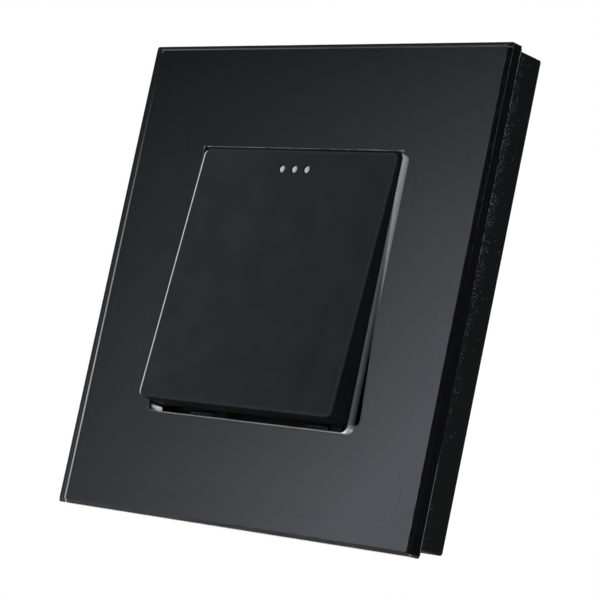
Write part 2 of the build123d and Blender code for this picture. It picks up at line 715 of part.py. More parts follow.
def coil_bobbin():
    """Spool that slides over the core's yoke."""
    spool = along_yoke(BOBBIN_X0, BOBBIN_X1, Rectangle(SPOOL_Z, SPOOL_OUT))
    flange = RectangleRounded(FLANGE_Z, FLANGE_OUT, FLANGE_CORNER)
    for x in (BOBBIN_X0, BOBBIN_X1 - FLANGE_THICK):
        spool += along_yoke(x, x + FLANGE_THICK, flange)
    bore = Rectangle(CORE_WIDTH + SPOOL_RUN, 2 * CORE_HALF + SPOOL_RUN)
    return spool - along_yoke(BOBBIN_X0, BOBBIN_X1, bore)


def coil_winding():
    """Copper winding between the spool's flanges."""
    outline = RectangleRounded(COIL_Z, COIL_OUT, COIL_CORNER) - Rectangle(SPOOL_Z, SPOOL_OUT)
    return along_yoke(BOBBIN_X0 + FLANGE_THICK, BOBBIN_X1 - FLANGE_THICK, outline)


def stacked(sketch):
    """Core sheets of one outline, laid one on the other."""
    back = ROTOR_OUT - CORE_HALF
    sheet = raised(sketch, back, back + CORE_SHEET)
    return Compound(children=[Pos(0, -CORE_SHEET * step, 0) * sheet for step in range(CORE_SHEETS)])


def core_yoke():
    """Laminated L of the core: the yoke through the coil and the left leg."""
    left = span(LEFT_LEG_X - CORE_WIDTH / 2, LEFT_LEG_X + CORE_WIDTH / 2, CORE_END_Z, CORE_TOP_Z)
    yoke = span(LEFT_LEG_X, RIGHT_LEG_X - CORE_WIDTH / 2, CORE_TOP_Z - CORE_WIDTH, CORE_TOP_Z)
    return stacked(left + yoke)


def core_leg():
    """Laminated right leg of the core."""
    half = CORE_WIDTH / 2
    return stacked(span(RIGHT_LEG_X - half, RIGHT_LEG_X + half, CORE_END_Z, CORE_TOP_Z))


def tray_base():
    """Flat bottom of the tray, with an opening under the coil."""
    outline = rounded_span(LEFT_LEG_X - TRAY_SIDE, RIGHT_LEG_X + TRAY_SIDE, TRAY_LOW, TRAY_HIGH, TRAY_CORNER)
    hole = span(BOBBIN_X0 + TRAY_HOLE_INSET, BOBBIN_X1 - TRAY_HOLE_INSET, TRAY_HOLE_LOW, TRAY_HOLE_HIGH)
    return raised(outline - hole, FLOOR_FRONT, TRAY_FRONT)


def core_seat(leg_x, outer):
    """Pedestal under one core leg with a lip beside it and a stop above it."""
    back = TRAY_FRONT - BLEND / 2
    core_back = ROTOR_OUT - CORE_HALF
    core_front = ROTOR_OUT + CORE_HALF
    half = CORE_WIDTH / 2
    low, high = sorted((leg_x + outer * half, leg_x + outer * (half + SEAT_LIP)))
    seat = raised(span(leg_x - half, leg_x + half, SEAT_LOW, CORE_TOP_Z), back, core_back)
    seat += raised(span(low, high, SEAT_LOW, CORE_TOP_Z), back, core_front)
    stop = span(leg_x - SEAT_STOP_HALF, leg_x + SEAT_STOP_HALF, CORE_TOP_Z, CORE_TOP_Z + SEAT_LIP)
    return seat + raised(stop, back, core_front)


def bearing_lug(z0):
    """Lug with the bore for one of the rotor's pins."""
    z1 = z0 + BEARING_THICK
    foot = span(ROTOR_X - BEARING_HALF, ROTOR_X + BEARING_HALF, z0, z1)
    lug = raised(foot, TRAY_FRONT - BLEND / 2, ROTOR_OUT)
    lug += pin_along_z(z0, z1, ROTOR_X, ROTOR_OUT, BEARING_HALF)
    return lug - pin_along_z(z0 - 1, z1 + 1, ROTOR_X, ROTOR_OUT, ROTOR_PIN_R + ROTOR_RUN)


def screw_ear(x, z):
    """Ear that reaches from the tray over one screw pillar of the cup."""
    front = EAR_BACK + EAR_THICK
    reach = EAR_LEFT_ARM if x < 0 else EAR_RIGHT_ARM
    end = -EAR_HALF if x < 0 else EAR_HALF
    arm = sorted((x + end, x + reach))
    root = sorted((x + reach, x + reach * EAR_ROOT_SHARE))
    ear = raised(span(*arm, z - EAR_HALF, z + EAR_HALF), EAR_BACK, front)
    ear += raised(span(*root, z - EAR_HALF, z + EAR_HALF), FLOOR_FRONT, front)
    return ear - pin_outwards(EAR_BACK, front, x, z, EAR_HOLE_R)


def generator_tray():
    """Moulded tray that carries the core and the rotor's bearings."""
    lower_lug = ROTOR_Z - ROTOR_HALF - LUG_GAP - BEARING_THICK
    upper_lug = ROTOR_Z + ROTOR_HALF + LUG_GAP
    tray = tray_base() + core_seat(LEFT_LEG_X, -1) + core_seat(RIGHT_LEG_X, 1)
    tray += bearing_lug(lower_lug) + bearing_lug(upper_lug)
    for x, z in TRAY_SCREWS:
        tray += screw_ear(x, z)
    return tray


def magnet():
    """Flat block magnet in the middle of the rotor."""
    half = MAGNET_THICK / 2
    outline = place(Rectangle(MAGNET_LENGTH, MAGNET_WIDTH), ROTOR_X, ROTOR_Z)
    return rocked_to_rest(raised(outline, ROTOR_OUT - half, ROTOR_OUT + half))


def stakes():
    """Outlines of the two square stakes that hold the front pole plate and the leaf."""
    square = Rectangle(STAKE_SIDE, STAKE_SIDE)
    return [place(square, ROTOR_X - STAKE_X, ROTOR_Z), place(square, ROTOR_X + STAKE_X, ROTOR_Z)]


def pole_plates():
    """Two steel plates that reach past both core legs, one each side of the magnet."""
    back_shape = place(Rectangle(POLE_LENGTH, POLE_WIDTH), ROTOR_X, ROTOR_Z)
    front_shape = back_shape
    for stake in stakes():
        front_shape -= stake
    back = raised(back_shape, ROTOR_OUT - POLE_FRONT, ROTOR_OUT - MAGNET_THICK / 2)
    front = raised(front_shape, ROTOR_OUT + MAGNET_THICK / 2, ROTOR_OUT + POLE_FRONT)
    return Compound(children=[rocked_to_rest(back), rocked_to_rest(front)])


def rotor_carrier():
    """Moulded ring round the magnet with the rotor's bearing pins and the leaf's stakes."""
    half = MAGNET_THICK / 2
    outline = RectangleRounded(ROTOR_LENGTH, 2 * ROTOR_HALF, ROTOR_CORNER)
    outline -= Rectangle(MAGNET_LENGTH, MAGNET_WIDTH)
    ring = raised(place(outline, ROTOR_X, ROTOR_Z), ROTOR_OUT - half, ROTOR_OUT + half)
    for side in (-1, 1):
        root = ROTOR_Z + side * (ROTOR_HALF - BLEND)
        end = ROTOR_Z + side * (ROTOR_HALF + ROTOR_PIN_LENGTH)
        ring += pin_along_z(min(root, end), max(root, end), ROTOR_X, ROTOR_OUT, ROTOR_PIN_R)
    for stake in stakes():
        ring += raised(stake, ROTOR_OUT + half - BLEND, ROTOR_OUT + POLE_FRONT + LEAF_THICK)
    return rocked_to_rest(ring)


def snap_leaf():
    """Tapered leaf spring from the rotor to the key's fork."""
    root = ROTOR_X - LEAF_TAIL
    shoulder = ROTOR_X + LEAF_SHOULDER
    tip = ROTOR_X + LEAF_REACH + LEAF_TIP
    lower = [(root, -LEAF_ROOT_HALF), (shoulder, -LEAF_ROOT_HALF), (tip, -LEAF_TIP_HALF)]
    upper = [(x, -z) for x, z in reversed(lower)]
    outline = make_face(Polyline(*lower, *upper, close=True))
    outline = fillet(outline.vertices().sort_by(Axis.X)[-2:], LEAF_CORNER)
    outline = place(outline, 0, ROTOR_Z)
    for stake in stakes():
        outline -= stake
    return rocked_to_rest(raised(outline, ROTOR_OUT + POLE_FRONT, ROTOR_OUT + POLE_FRONT + LEAF_THICK))


def plate_hook(x, side):
    """Hook on the wall plate that snaps behind a catch of the frame."""
    edge = CARRIER_RISE + side * PLATE_SIDE / 2
    leg = sorted((edge, edge - side * PLATE_HOOK_THICK))
    lip = sorted((edge + side * PLATE_HOOK_REACH, edge - side * BLEND))
    half = PLATE_HOOK_WIDTH / 2
    hook = raised(span(x - half, x + half, *leg), PLATE_THICK - BLEND, PLATE_HOOK_FRONT)
    return hook + raised(span(x - half, x + half, *lip), PLATE_HOOK_BACK, PLATE_HOOK_FRONT)


def wall_plate():
    """Rear plate: slots for the wall screws, tape recesses and four snap hooks."""
    outline = place(RectangleRounded(PLATE_SIDE, PLATE_SIDE, PLATE_CORNER), 0, CARRIER_RISE)
    for x in (-SCREW_SPACING / 2, SCREW_SPACING / 2):
        outline -= place(SlotOverall(SLOT_LENGTH, SLOT_WIDTH), x, 0)
    plate = raised(outline, 0, PLATE_THICK)
    for z in TAPE_CENTRES:
        plate -= raised(place(Rectangle(TAPE_LENGTH, TAPE_WIDTH), 0, z), 0, TAPE_THICK)
    for x in (-CATCH_X, CATCH_X):
        for side in (-1, 1):
            plate += plate_hook(x, side)
    return plate


def adhesive_pads():
    """Two foam tapes in the plate's rear recesses."""
    outline = Rectangle(TAPE_LENGTH - 2 * TAPE_GAP, TAPE_WIDTH - 2 * TAPE_GAP)
    return Compound(children=[raised(place(outline, 0, z), 0, TAPE_THICK) for z in TAPE_CENTRES])


PIECES = [
    glass_plate, glass_backing, carrier_frame, key, light_guides, key_stop_pads, key_return_springs,
    board_cover, cover_screws, circuit_board, shield_can, radio_chip, antenna, indicator_leds,
    storage_capacitors, rectifier_diodes, coil_leads, generator_tray, coil_bobbin, coil_winding,
    core_yoke, core_leg, magnet, pole_plates, rotor_carrier, snap_leaf, generator_screws,
    wall_plate, adhesive_pads,
]

os.makedirs("parts", exist_ok=True)
for piece in PIECES:
    export_step(piece(), "parts/" + piece.__name__ + ".step")
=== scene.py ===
"""Dresses a kinetic wireless wall switch: glass front, big key, frame, generator and board.

Every length is in metres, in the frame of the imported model: X to the right, Y into the wall, Z up.
"""

import logging
import math
from contextlib import contextmanager
from dataclasses import dataclass, field
from enum import Enum
from functools import cached_property
from typing import Iterator, Union

import bpy
from mathutils import Matrix, Vector

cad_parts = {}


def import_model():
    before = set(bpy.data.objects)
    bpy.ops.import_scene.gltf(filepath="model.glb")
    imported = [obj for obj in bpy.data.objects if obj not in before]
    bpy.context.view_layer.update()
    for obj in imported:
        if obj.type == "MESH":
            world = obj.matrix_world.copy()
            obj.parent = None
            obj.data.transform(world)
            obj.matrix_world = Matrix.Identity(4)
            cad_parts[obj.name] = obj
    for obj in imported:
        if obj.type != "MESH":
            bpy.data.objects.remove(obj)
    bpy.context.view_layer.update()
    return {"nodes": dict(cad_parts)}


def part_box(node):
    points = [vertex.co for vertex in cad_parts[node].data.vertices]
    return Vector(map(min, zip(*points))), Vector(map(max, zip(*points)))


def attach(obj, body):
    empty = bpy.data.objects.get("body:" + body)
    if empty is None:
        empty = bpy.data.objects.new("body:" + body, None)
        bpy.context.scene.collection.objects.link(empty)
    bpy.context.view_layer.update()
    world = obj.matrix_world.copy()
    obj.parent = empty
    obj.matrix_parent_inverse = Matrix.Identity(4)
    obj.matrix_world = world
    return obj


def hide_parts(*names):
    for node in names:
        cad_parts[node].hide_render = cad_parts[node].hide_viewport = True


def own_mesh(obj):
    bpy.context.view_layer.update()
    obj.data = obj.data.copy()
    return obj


Color = tuple[float, float, float]
Span = tuple[float, float]
Places = tuple[tuple[float, float], ...]
Piece = bpy.types.Object
Material = bpy.types.Material
Socket = bpy.types.NodeSocket
Feed = Union[float, Color, Socket]

LOG = logging.getLogger("switch")
MM = 0.001
WELD = 0.002 * MM
ORIGIN = (0.0, 0.0, 0.0)
BLACK: Color = (0.0, 0.0, 0.0)
WHITE: Color = (1.0, 1.0, 1.0)
NOISE_SPAN: Span = (0.3, 0.7)


class Grain(Enum):
    """How a surface's fine relief runs."""

    EVEN = (1.0, 1.0, 1.0)
    ALONG_X = (0.04, 1.0, 1.0)
    ALONG_Z = (1.0, 1.0, 0.04)
    ALONG_WALL = (0.03, 1.0, 0.03)


class Lying(Enum):
    """Which way a component lies, as the turns of its two terminals in degrees."""

    ALONG_X = (0, 180)
    ALONG_Z = (90, 270)


def span(base: float, start: float, end: float) -> Span:
    """Returns two places past a base; the distances from it are in millimetres."""
    return base + start * MM, base + end * MM


def toned(color: Color, share: float) -> Color:
    """Returns a lighter or darker colour."""
    return tuple(part * share for part in color)


class NodeSheet:
    """One node tree, with short calls that add nodes and join their sockets."""

    def __init__(self, tree: bpy.types.NodeTree) -> None:
        """Keeps the tree and empties it."""
        self.tree = tree
        self.tree.nodes.clear()

    @cached_property
    def place(self) -> Socket:
        """Returns the point's own place on the object."""
        return self.add("ShaderNodeTexCoord").outputs["Object"]

    @cached_property
    def point(self) -> tuple[Socket, ...]:
        """Returns the X, Y and Z of the point's place."""
        return self.parts(self.place)

    @cached_property
    def path(self) -> bpy.types.NodeOutputs:
        """Returns what is known of the light's path."""
        return self.add("ShaderNodeLightPath").outputs

    def add(self, kind: str, **settings: object) -> bpy.types.Node:
        """Adds a node.

        Args:
            kind: the node's type name.
            settings: the node's own properties.

        Returns:
            The new node.
        """
        node = self.tree.nodes.new(kind)
        for key, value in settings.items():
            setattr(node, key, value)
        return node

    def feed(self, entry: Socket, value: Feed) -> None:
        """Sets an input to a number or colour, or joins it to another node's output.

        Args:
            entry: the input socket.
            value: a number, a colour or an output socket.
        """
        if isinstance(value, Socket):
            self.tree.links.new(value, entry)
        elif isinstance(value, tuple) and entry.type == "RGBA":
            entry.default_value = (*value, 1.0)
        else:
            entry.default_value = value

    def fed(self, node: bpy.types.Node, *values: Feed) -> Socket:
        """Feeds a node's first inputs in order.

        Args:
            node: the node.
            values: one value for each input.

        Returns:
            The node's first output.
        """
        for entry, value in zip(node.inputs, values):
            self.feed(entry, value)
        return node.outputs[0]

    def made(self, kind: str, **inputs: Feed) -> Socket:
        """Adds a node with named inputs.

        Args:
            kind: the node's type name.
            inputs: its inputs by name, with underscores for spaces.

        Returns:
            The node's first output.
        """
        node = self.add(kind)
        for key, value in inputs.items():
            self.feed(node.inputs[key.replace("_", " ")], value)
        return node.outputs[0]

    def math(self, operation: str, first: Feed, second: Feed = 0.0) -> Socket:
        """Returns the result of one step of arithmetic."""
        return self.fed(self.add("ShaderNodeMath", operation=operation), first, second)

    def above(self, value: Feed, limit: float) -> Socket:
        """Returns 1 where a value is over a limit, and 0 elsewhere."""
        return self.math("GREATER_THAN", value, limit)

    def below(self, value: Feed, limit: float) -> Socket:
        """Returns 1 where a value is under a limit, and 0 elsewhere."""
        return self.math("LESS_THAN", value, limit)

    def either(self, first: Feed, second: Feed) -> Socket:
        """Returns the larger of two values."""
        return self.math("MAXIMUM", first, second)

    def both(self, first: Feed, second: Feed) -> Socket:
        """Returns the product of two values."""
        return self.math("MULTIPLY", first, second)

    def plus(self, first: Feed, second: Feed) -> Socket:
        """Returns the sum of two values."""
        return self.math("ADD", first, second)

    def minus(self, first: Feed, second: Feed) -> Socket:
        """Returns the first value less the second."""
        return self.math("SUBTRACT", first, second)

    def offset(self, value: Feed, middle: float = 0.0) -> Socket:
        """Returns how far a value is from a middle, whatever the side."""
        return self.math("ABSOLUTE", self.minus(value, middle) if middle else value)

    def length(self, first: Feed, second: Feed) -> Socket:
        """Returns the length of a line with these two sides."""
        return self.math("SQRT", self.plus(self.both(first, first), self.both(second, second)))

    def levels(self, value: Feed, source: Span, target: Span, smooth: bool = False) -> Socket:
        """Maps one range of numbers to another and clamps it.

        Args:
            value: the number to map.
            source: the range it comes in.
            target: the range it goes to.
            smooth: whether the ends ease in and out.

        Returns:
            The result's socket.
        """
        kind = "SMOOTHSTEP" if smooth else "LINEAR"
        node = self.add("ShaderNodeMapRange", interpolation_type=kind)
        return self.fed(node, value, *source, *target)

    def rise(self, value: Feed, source: Span, smooth: bool = False) -> Socket:
        """Returns 0 before a span and 1 past it."""
        return self.levels(value, source, (0.0, 1.0), smooth)

    def fall(self, value: Feed, source: Span, smooth: bool = False) -> Socket:
        """Returns 1 before a span and 0 past it."""
        return self.levels(value, source, (1.0, 0.0), smooth)

    def blend(self, share: Feed, first: Feed, second: Feed) -> Socket:
        """Mixes two colours.

        Args:
            share: how much of the second colour, from 0 to 1.
            first: the first colour.
            second: the second colour.

        Returns:
            The mixed colour's socket.
        """
        node = self.add("ShaderNodeMix", data_type="RGBA")
        colors = [entry for entry in node.inputs if entry.type == "RGBA"]
        for entry, value in zip((node.inputs["Factor"], *colors), (share, first, second)):
            self.feed(entry, value)
        return [out for out in node.outputs if out.type == "RGBA"][0]

    def mixed(self, share: Feed, first: Socket, second: Socket) -> Socket:
        """Returns a mix of two shaders, with this share of the second."""
        return self.fed(self.add("ShaderNodeMixShader"), share, first, second)

    def parts(self, vector: Socket) -> tuple[Socket, ...]:
        """Returns the X, Y and Z of a vector."""
        return tuple(self.fed(self.add("ShaderNodeSeparateXYZ"), vector).node.outputs)

    def noise(self, size: float, grain: Grain = Grain.EVEN, detail: float = 3.0) -> Socket:
        """Adds a cloudy pattern.

        Args:
            size: the width of one patch.
            grain: the way the patches are drawn out.
            detail: how many finer layers it has.

        Returns:
            The pattern's socket, from 0 to 1.
        """
        scale = tuple(share / size for share in grain.value)
        place = self.made("ShaderNodeMapping", Scale=scale, Vector=self.place)
        return self.made("ShaderNodeTexNoise", Scale=1.0, Detail=detail, Vector=place)

    def cells(self, size: float) -> tuple[Socket, Socket]:
        """Adds a pattern of random cells.

        Args:
            size: the width of one cell.

        Returns:
            The distance from each cell's middle, and a random number for each cell.
        """
        node = self.made("ShaderNodeTexVoronoi", Scale=1.0 / size, Vector=self.place).node
        return node.outputs["Distance"], self.parts(node.outputs["Color"])[0]

    def relief(self, height: Feed, depth: float, strength: float = 1.0) -> Socket:
        """Returns the normal of a pattern that is raised by a depth."""
        return self.made("ShaderNodeBump", Strength=strength, Distance=depth, Height=height)

    def principled(self, **inputs: Feed) -> Socket:
        """Returns a Principled shader with these inputs."""
        return self.made("ShaderNodeBsdfPrincipled", **inputs)

    def matt(self, color: Feed) -> Socket:
        """Returns a plain matt shader of one colour."""
        return self.made("ShaderNodeBsdfDiffuse", Color=color)

    def finish(self, shader: Socket, kind: str = "ShaderNodeOutputMaterial") -> None:
        """Joins the last shader to the output."""
        self.feed(self.add(kind).inputs["Surface"], shader)


def fresh_material(name: str) -> tuple[Material, NodeSheet]:
    """Makes an empty material.

    Args:
        name: the material's name.

    Returns:
        The material and its sheet.
    """
    material = bpy.data.materials.new(name)
    material.use_nodes = True
    return material, NodeSheet(material.node_tree)


@dataclass(frozen=True)
class Finish:
    """A named finish with one main colour."""

    name: str
    color: Color

    def material(self) -> Material:
        """Makes the finish's material.

        Returns:
            The finished material.
        """
        material, sheet = fresh_material(self.name)
        sheet.finish(self.shader(sheet))
        return material

    def shader(self, sheet: NodeSheet) -> Socket:
        """Returns a plain matt shader; each finish below has its own."""
        return sheet.matt(self.color)


@dataclass(frozen=True)
class MouldedPlastic(Finish):
    """Plastic with the fine grain of a spark-eroded mould."""

    roughness: float = 0.5
    grain_size: float = 0.12 * MM
    grain_depth: float = 0.004 * MM
    grain_detail: float = 2.0
    shine: float = 0.45
    cloud_size: float = 6 * MM
    darkest: float = 0.8
    lightest: float = 1.1
    rough_drift: float = 0.03

    def shader(self, sheet: NodeSheet) -> Socket:
        """Adds clouds in colour and roughness under the fine grain.

        Args:
            sheet: the material's sheet.

        Returns:
            The shader's socket.
        """
        clouds = sheet.noise(self.cloud_size)
        color = sheet.blend(sheet.rise(clouds, NOISE_SPAN), toned(self.color, self.darkest),
                            toned(self.color, self.lightest))
        rough = sheet.levels(clouds, NOISE_SPAN,
                             (self.roughness - self.rough_drift, self.roughness + self.rough_drift))
        grain = sheet.noise(self.grain_size, detail=self.grain_detail)
        return sheet.principled(
            Base_Color=self.marked(sheet, color), Roughness=rough, Specular_IOR_Level=self.shine,
            Normal=sheet.relief(grain, self.grain_depth))

    def marked(self, sheet: NodeSheet, color: Socket) -> Socket:
        """Returns the plain colour; a finish with marks adds them here."""
        return color


@dataclass(frozen=True)
class PaintedGlintPlastic(MouldedPlastic):
    """Moulded plastic with glints painted into its colour as light specks, most of them next to the glass."""

    # colour of the painted glints
    painted_glint: Color = (0.25, 0.25, 0.265)
    glint_scale: float = 1.15
    glint_y: float = 0.0
    glint_reach: float = 2.6 * MM
    glint_shares: Span = (0.13, 0.003)
    low_span: Span = (-25 * MM, 8 * MM)
    low_shares: Span = (0.1, 1.0)
    high_span: Span = (38 * MM, 42 * MM)
    high_shares: Span = (1.0, 0.2)

    def marked(self, sheet: NodeSheet, color: Socket) -> Socket:
        """Paints the glints into the colour as light specks.

        Args:
            sheet: the material's sheet.
            color: the plain colour.

        Returns:
            The colour with its glints.
        """
        _, y, z = sheet.point
        _, chance = sheet.cells(self.grain_size * self.glint_scale)
        rarity = sheet.levels(y, (self.glint_y, self.glint_y + self.glint_reach), self.glint_shares)
        drift = sheet.both(sheet.levels(z, self.low_span, self.low_shares),
                           sheet.levels(z, self.high_span, self.high_shares))
        # painted glints: light specks in random cells, densest next to the glass, fewest low down and at the
        # very top
        spark = sheet.above(sheet.plus(chance, sheet.both(rarity, drift)), 1.0)
        return sheet.blend(spark, color, self.painted_glint)


@dataclass(frozen=True)
class PaintedLightKeyPlastic(MouldedPlastic):
    """Moulded plastic of the key, with a painted highlight round its face's rim and painted shade below and
    on the right.
    """

    half_width: float = 23.5 * MM
    half_height: float = 23.13 * MM
    middle_z: float = 0.365 * MM
    corner: float = 1.2 * MM
    band: float = 0.42 * MM
    face_limit: float = -0.4
    bottom_span: Span = (-0.8, -0.3)
    # strength of the painted shade on the faces that look down and towards the face's right
    bottom_shade: float = 0.5
    right_shade: float = 0.3
    # tones of the painted highlight round the face's rim: bright on the left, faint elsewhere
    left_painted_tone: Color = (0.42, 0.43, 0.44)
    rim_highlight: Color = (0.016, 0.018, 0.02)

    def marked(self, sheet: NodeSheet, color: Socket) -> Socket:
        """Paints a highlight round the face's rim, and paints shade on the bottom wall and on the face
        towards its right.

        Args:
            sheet: the material's sheet.
            color: the plain colour.

        Returns:
            The colour with its painted highlight and shade.
        """
        x, _, z = sheet.point
        _, facing, up = sheet.parts(sheet.add("ShaderNodeTexCoord").outputs["Normal"])
        # painted shade: darker on the faces that look down and towards the face's right
        shade = sheet.either(sheet.levels(up, self.bottom_span, (self.bottom_shade, 0.0)),
                             sheet.levels(x, (-self.half_width, self.half_width), (0.0, self.right_shade)))
        past_x = sheet.either(sheet.minus(sheet.offset(x), self.half_width - self.corner), 0.0)
        past_z = sheet.either(
            sheet.minus(sheet.offset(z, self.middle_z), self.half_height - self.corner), 0.0)
        reach = sheet.length(past_x, past_z)
        # painted highlight: a light band round the face's rim, brightest on the left
        band = sheet.both(sheet.above(reach, self.corner - self.band), sheet.below(facing, self.face_limit))
        sideways = sheet.math("DIVIDE", past_x, sheet.either(reach, 0.01 * MM))
        left = sheet.both(sheet.rise(sideways, (0.5, 1.0)), sheet.below(x, 0.0))
        return sheet.blend(band, sheet.blend(shade, color, BLACK),
                           sheet.blend(left, self.rim_highlight, self.left_painted_tone))


@dataclass(frozen=True)
class SheetSteel(Finish):
    """Rolled or drawn metal with fine lines along one direction."""

    roughness: float = 0.32
    grain: Grain = Grain.ALONG_X
    line_size: float = 0.05 * MM
    line_depth: float = 0.0015 * MM
    smoother: float = 0.08
    rougher: float = 0.1
    stain_size: float = 3 * MM
    stain_span: Span = (0.35, 0.75)
    stain_share: float = 0.25
    stain_tone: float = 0.6

    def shader(self, sheet: NodeSheet) -> Socket:
        """Adds the drawn lines and some faint stains.

        Args:
            sheet: the material's sheet.

        Returns:
            The shader's socket.
        """
        lines = sheet.noise(self.line_size, self.grain)
        stains = sheet.levels(sheet.noise(self.stain_size), self.stain_span, (0.0, self.stain_share))
        rough = sheet.levels(
            lines, NOISE_SPAN, (self.roughness - self.smoother, self.roughness + self.rougher))
        return sheet.principled(
            Base_Color=sheet.blend(stains, self.color, toned(self.color, self.stain_tone)),
            Metallic=1.0, Roughness=rough, Normal=sheet.relief(lines, self.line_depth))


@dataclass(frozen=True)
class BlackBackedGlass(Finish):
    """Clear polished glass with a blackened rear face and ground walls round its window.

    The light and shade on each ground wall and arris, and the highlights along the arrises, are painted in by
    place.
    """

    front_y: float
    back_y: float
    half: float = 43.0 * MM
    bevel_width: float = 0.65 * MM
    bevel_depth: float = 0.75 * MM
    rear_bevel: float = 0.45 * MM
    ground_arris: float = 0.2 * MM
    bare_strip: float = 0.12 * MM
    window_half: float = 24.175 * MM
    window_middle_z: float = -0.35 * MM
    margin: float = 0.02 * MM
    sight: float = 3.0 * MM
    right_reach: float = 1.5 * MM
    ior: float = 1.52
    soot: Color = (0.004, 0.004, 0.0042)
    veiled_soot: Color = (0.0002, 0.0002, 0.0002)
    # the ground walls' lit tone, then the tones of painted shade on them: in the key's shadow, on the top
    # wall and on the left wall
    wall_tone: Color = (0.98, 0.99, 1.0)
    shaded_tone: Color = (0.03, 0.03, 0.032)
    top_shade_tone: Color = (0.07, 0.07, 0.074)
    left_painted_tone: Color = (0.006, 0.006, 0.0063)
    # the rear arris's ground tone, which gets painted light by place, and the tone of the highlights painted
    # along the arrises
    arris_tone: Color = (0.72, 0.73, 0.74)
    highlight_tone: Color = (0.6, 0.61, 0.62)
    # dashes and foot of the painted highlight round the window
    dash_size: float = 0.2 * MM
    dash_shares: Span = (0.35, 0.45)
    head_widening: float = 0.05 * MM
    foot_share: float = 0.75
    score_size: float = 0.12 * MM
    score_span: Span = (0.35, 0.65)
    score_depth: float = 0.35
    glow_shares: Span = (0.1, 0.6)
    # shape of the painted light at the foot of the left wall
    corner_lift: float = 0.2 * MM
    corner_slant: float = 0.4
    # painted glints on the front bevel
    bevel_glint_size: float = 0.13 * MM
    bevel_glint_limit: float = 0.9
    bevel_glint_share: float = 0.035
    # dashes and widths of the highlights painted along the arrises
    dot_size: float = 0.22 * MM
    dot_limit: float = 0.45
    line_width: float = 0.05 * MM
    rear_line_width: float = 0.08 * MM
    rear_line_share: float = 0.8

    @property
    def foot(self) -> float:
        """Returns the Z of the window's lower edge."""
        return self.window_middle_z - self.window_half

    @property
    def head(self) -> float:
        """Returns the Z of the window's upper edge."""
        return self.window_middle_z + self.window_half

    def edge(self, sheet: NodeSheet) -> Socket:
        """Returns the larger of the distances from the plate's middle, along X and Z."""
        x, _, z = sheet.point
        return sheet.either(sheet.offset(x), sheet.offset(z))

    def inner(self, sheet: NodeSheet) -> Socket:
        """Returns the larger of the distances from the window's middle, along X and Z."""
        x, _, z = sheet.point
        return sheet.either(sheet.offset(x), sheet.offset(z, self.window_middle_z))

    def shader(self, sheet: NodeSheet) -> Socket:
        """Lays the black front, the ground walls and arrises, the painted highlights and the soot over clear
        glass.

        Args:
            sheet: the material's sheet.

        Returns:
            The shader's socket.
        """
        edge, inner = self.edge(sheet), self.inner(sheet)
        x, y, _ = sheet.point
        front = sheet.below(y, self.front_y + self.margin)
        rear = sheet.above(y, self.back_y - self.rear_bevel)
        arris_start = self.half - self.rear_bevel - self.bare_strip
        overlap = sheet.both(rear, sheet.above(edge, self.half - self.rear_bevel + self.ground_arris))
        plane = sheet.both(sheet.above(y, self.back_y - self.margin), sheet.below(edge, arris_start))
        rim, mouth = self.half - self.sight, self.window_half + self.sight
        closed = sheet.both(sheet.fall(edge, (rim - self.sight, rim), smooth=True),
                            sheet.rise(inner, (mouth, mouth + self.sight), smooth=True))
        outside = sheet.above(sheet.offset(x), self.half - self.margin)
        # the highlights along the outer arrises are painted on the right side only
        right = sheet.above(x, self.half - self.right_reach)
        backed = sheet.principled(Base_Color=self.veiled_soot, Roughness=0.0, IOR=self.ior)
        layers = (
            (sheet.either(sheet.both(front, closed), outside), backed),
            # painted highlight round the window, in a light matt tone
            (sheet.both(front, self.window_arris(sheet)), sheet.matt(self.highlight_tone)),
            # ground walls, with painted light and shade
            (sheet.below(inner, self.window_half + self.margin), self.ground(sheet, self.wall(sheet))),
            # ground rear arris, with painted light
            (sheet.both(rear, sheet.above(edge, arris_start)), self.ground(sheet, self.arris(sheet))),
            # highlights painted along the right outer arrises
            (sheet.both(right, self.arris_highlights(sheet)), sheet.matt(self.highlight_tone)),
            (sheet.either(overlap, plane), sheet.matt(self.soot)),
        )
        surface = self.polished(sheet)
        for share, layer in layers:
            surface = sheet.mixed(share, surface, layer)
        return surface

    def polished(self, sheet: NodeSheet) -> Socket:
        """Returns clear glass that lets the lamps' light pass."""
        glass = sheet.made("ShaderNodeBsdfGlass", Color=self.color, Roughness=0.0, IOR=self.ior)
        return sheet.mixed(sheet.path["Is Shadow Ray"], glass, sheet.made("ShaderNodeBsdfTransparent"))

    def window_arris(self, sheet: NodeSheet) -> Socket:
        """Works out the highlight painted round the window as a fine light arris, widest along its foot.

        Args:
            sheet: the material's sheet.

        Returns:
            The share of painted highlight.
        """
        head_span = span(self.head, -0.3, -0.2)
        x, _, z = sheet.point
        past = sheet.minus(self.inner(sheet), self.window_half)
        # painted highlight: a wide light line along the window's foot
        low = sheet.both(sheet.fall(z, span(self.foot, 0.0, 1.0)),
                         sheet.rise(x, span(-self.window_half, 1.0, 2.4)))
        wide = sheet.both(sheet.fall(past, span(0.0, 0.09, 0.15)), sheet.both(low, self.foot_share))
        # fainter painted highlight in dashes round the rest of the window, a little stronger and wider at the
        # top
        _, chance = sheet.cells(self.dash_size)
        dashes = sheet.both(sheet.above(chance, self.dot_limit), sheet.levels(z, head_span, self.dash_shares))
        reach = sheet.minus(past, sheet.levels(z, head_span, (0.0, self.head_widening)))
        fine = sheet.both(sheet.fall(reach, span(0.0, 0.06, 0.12)), dashes)
        return sheet.either(wide, fine)

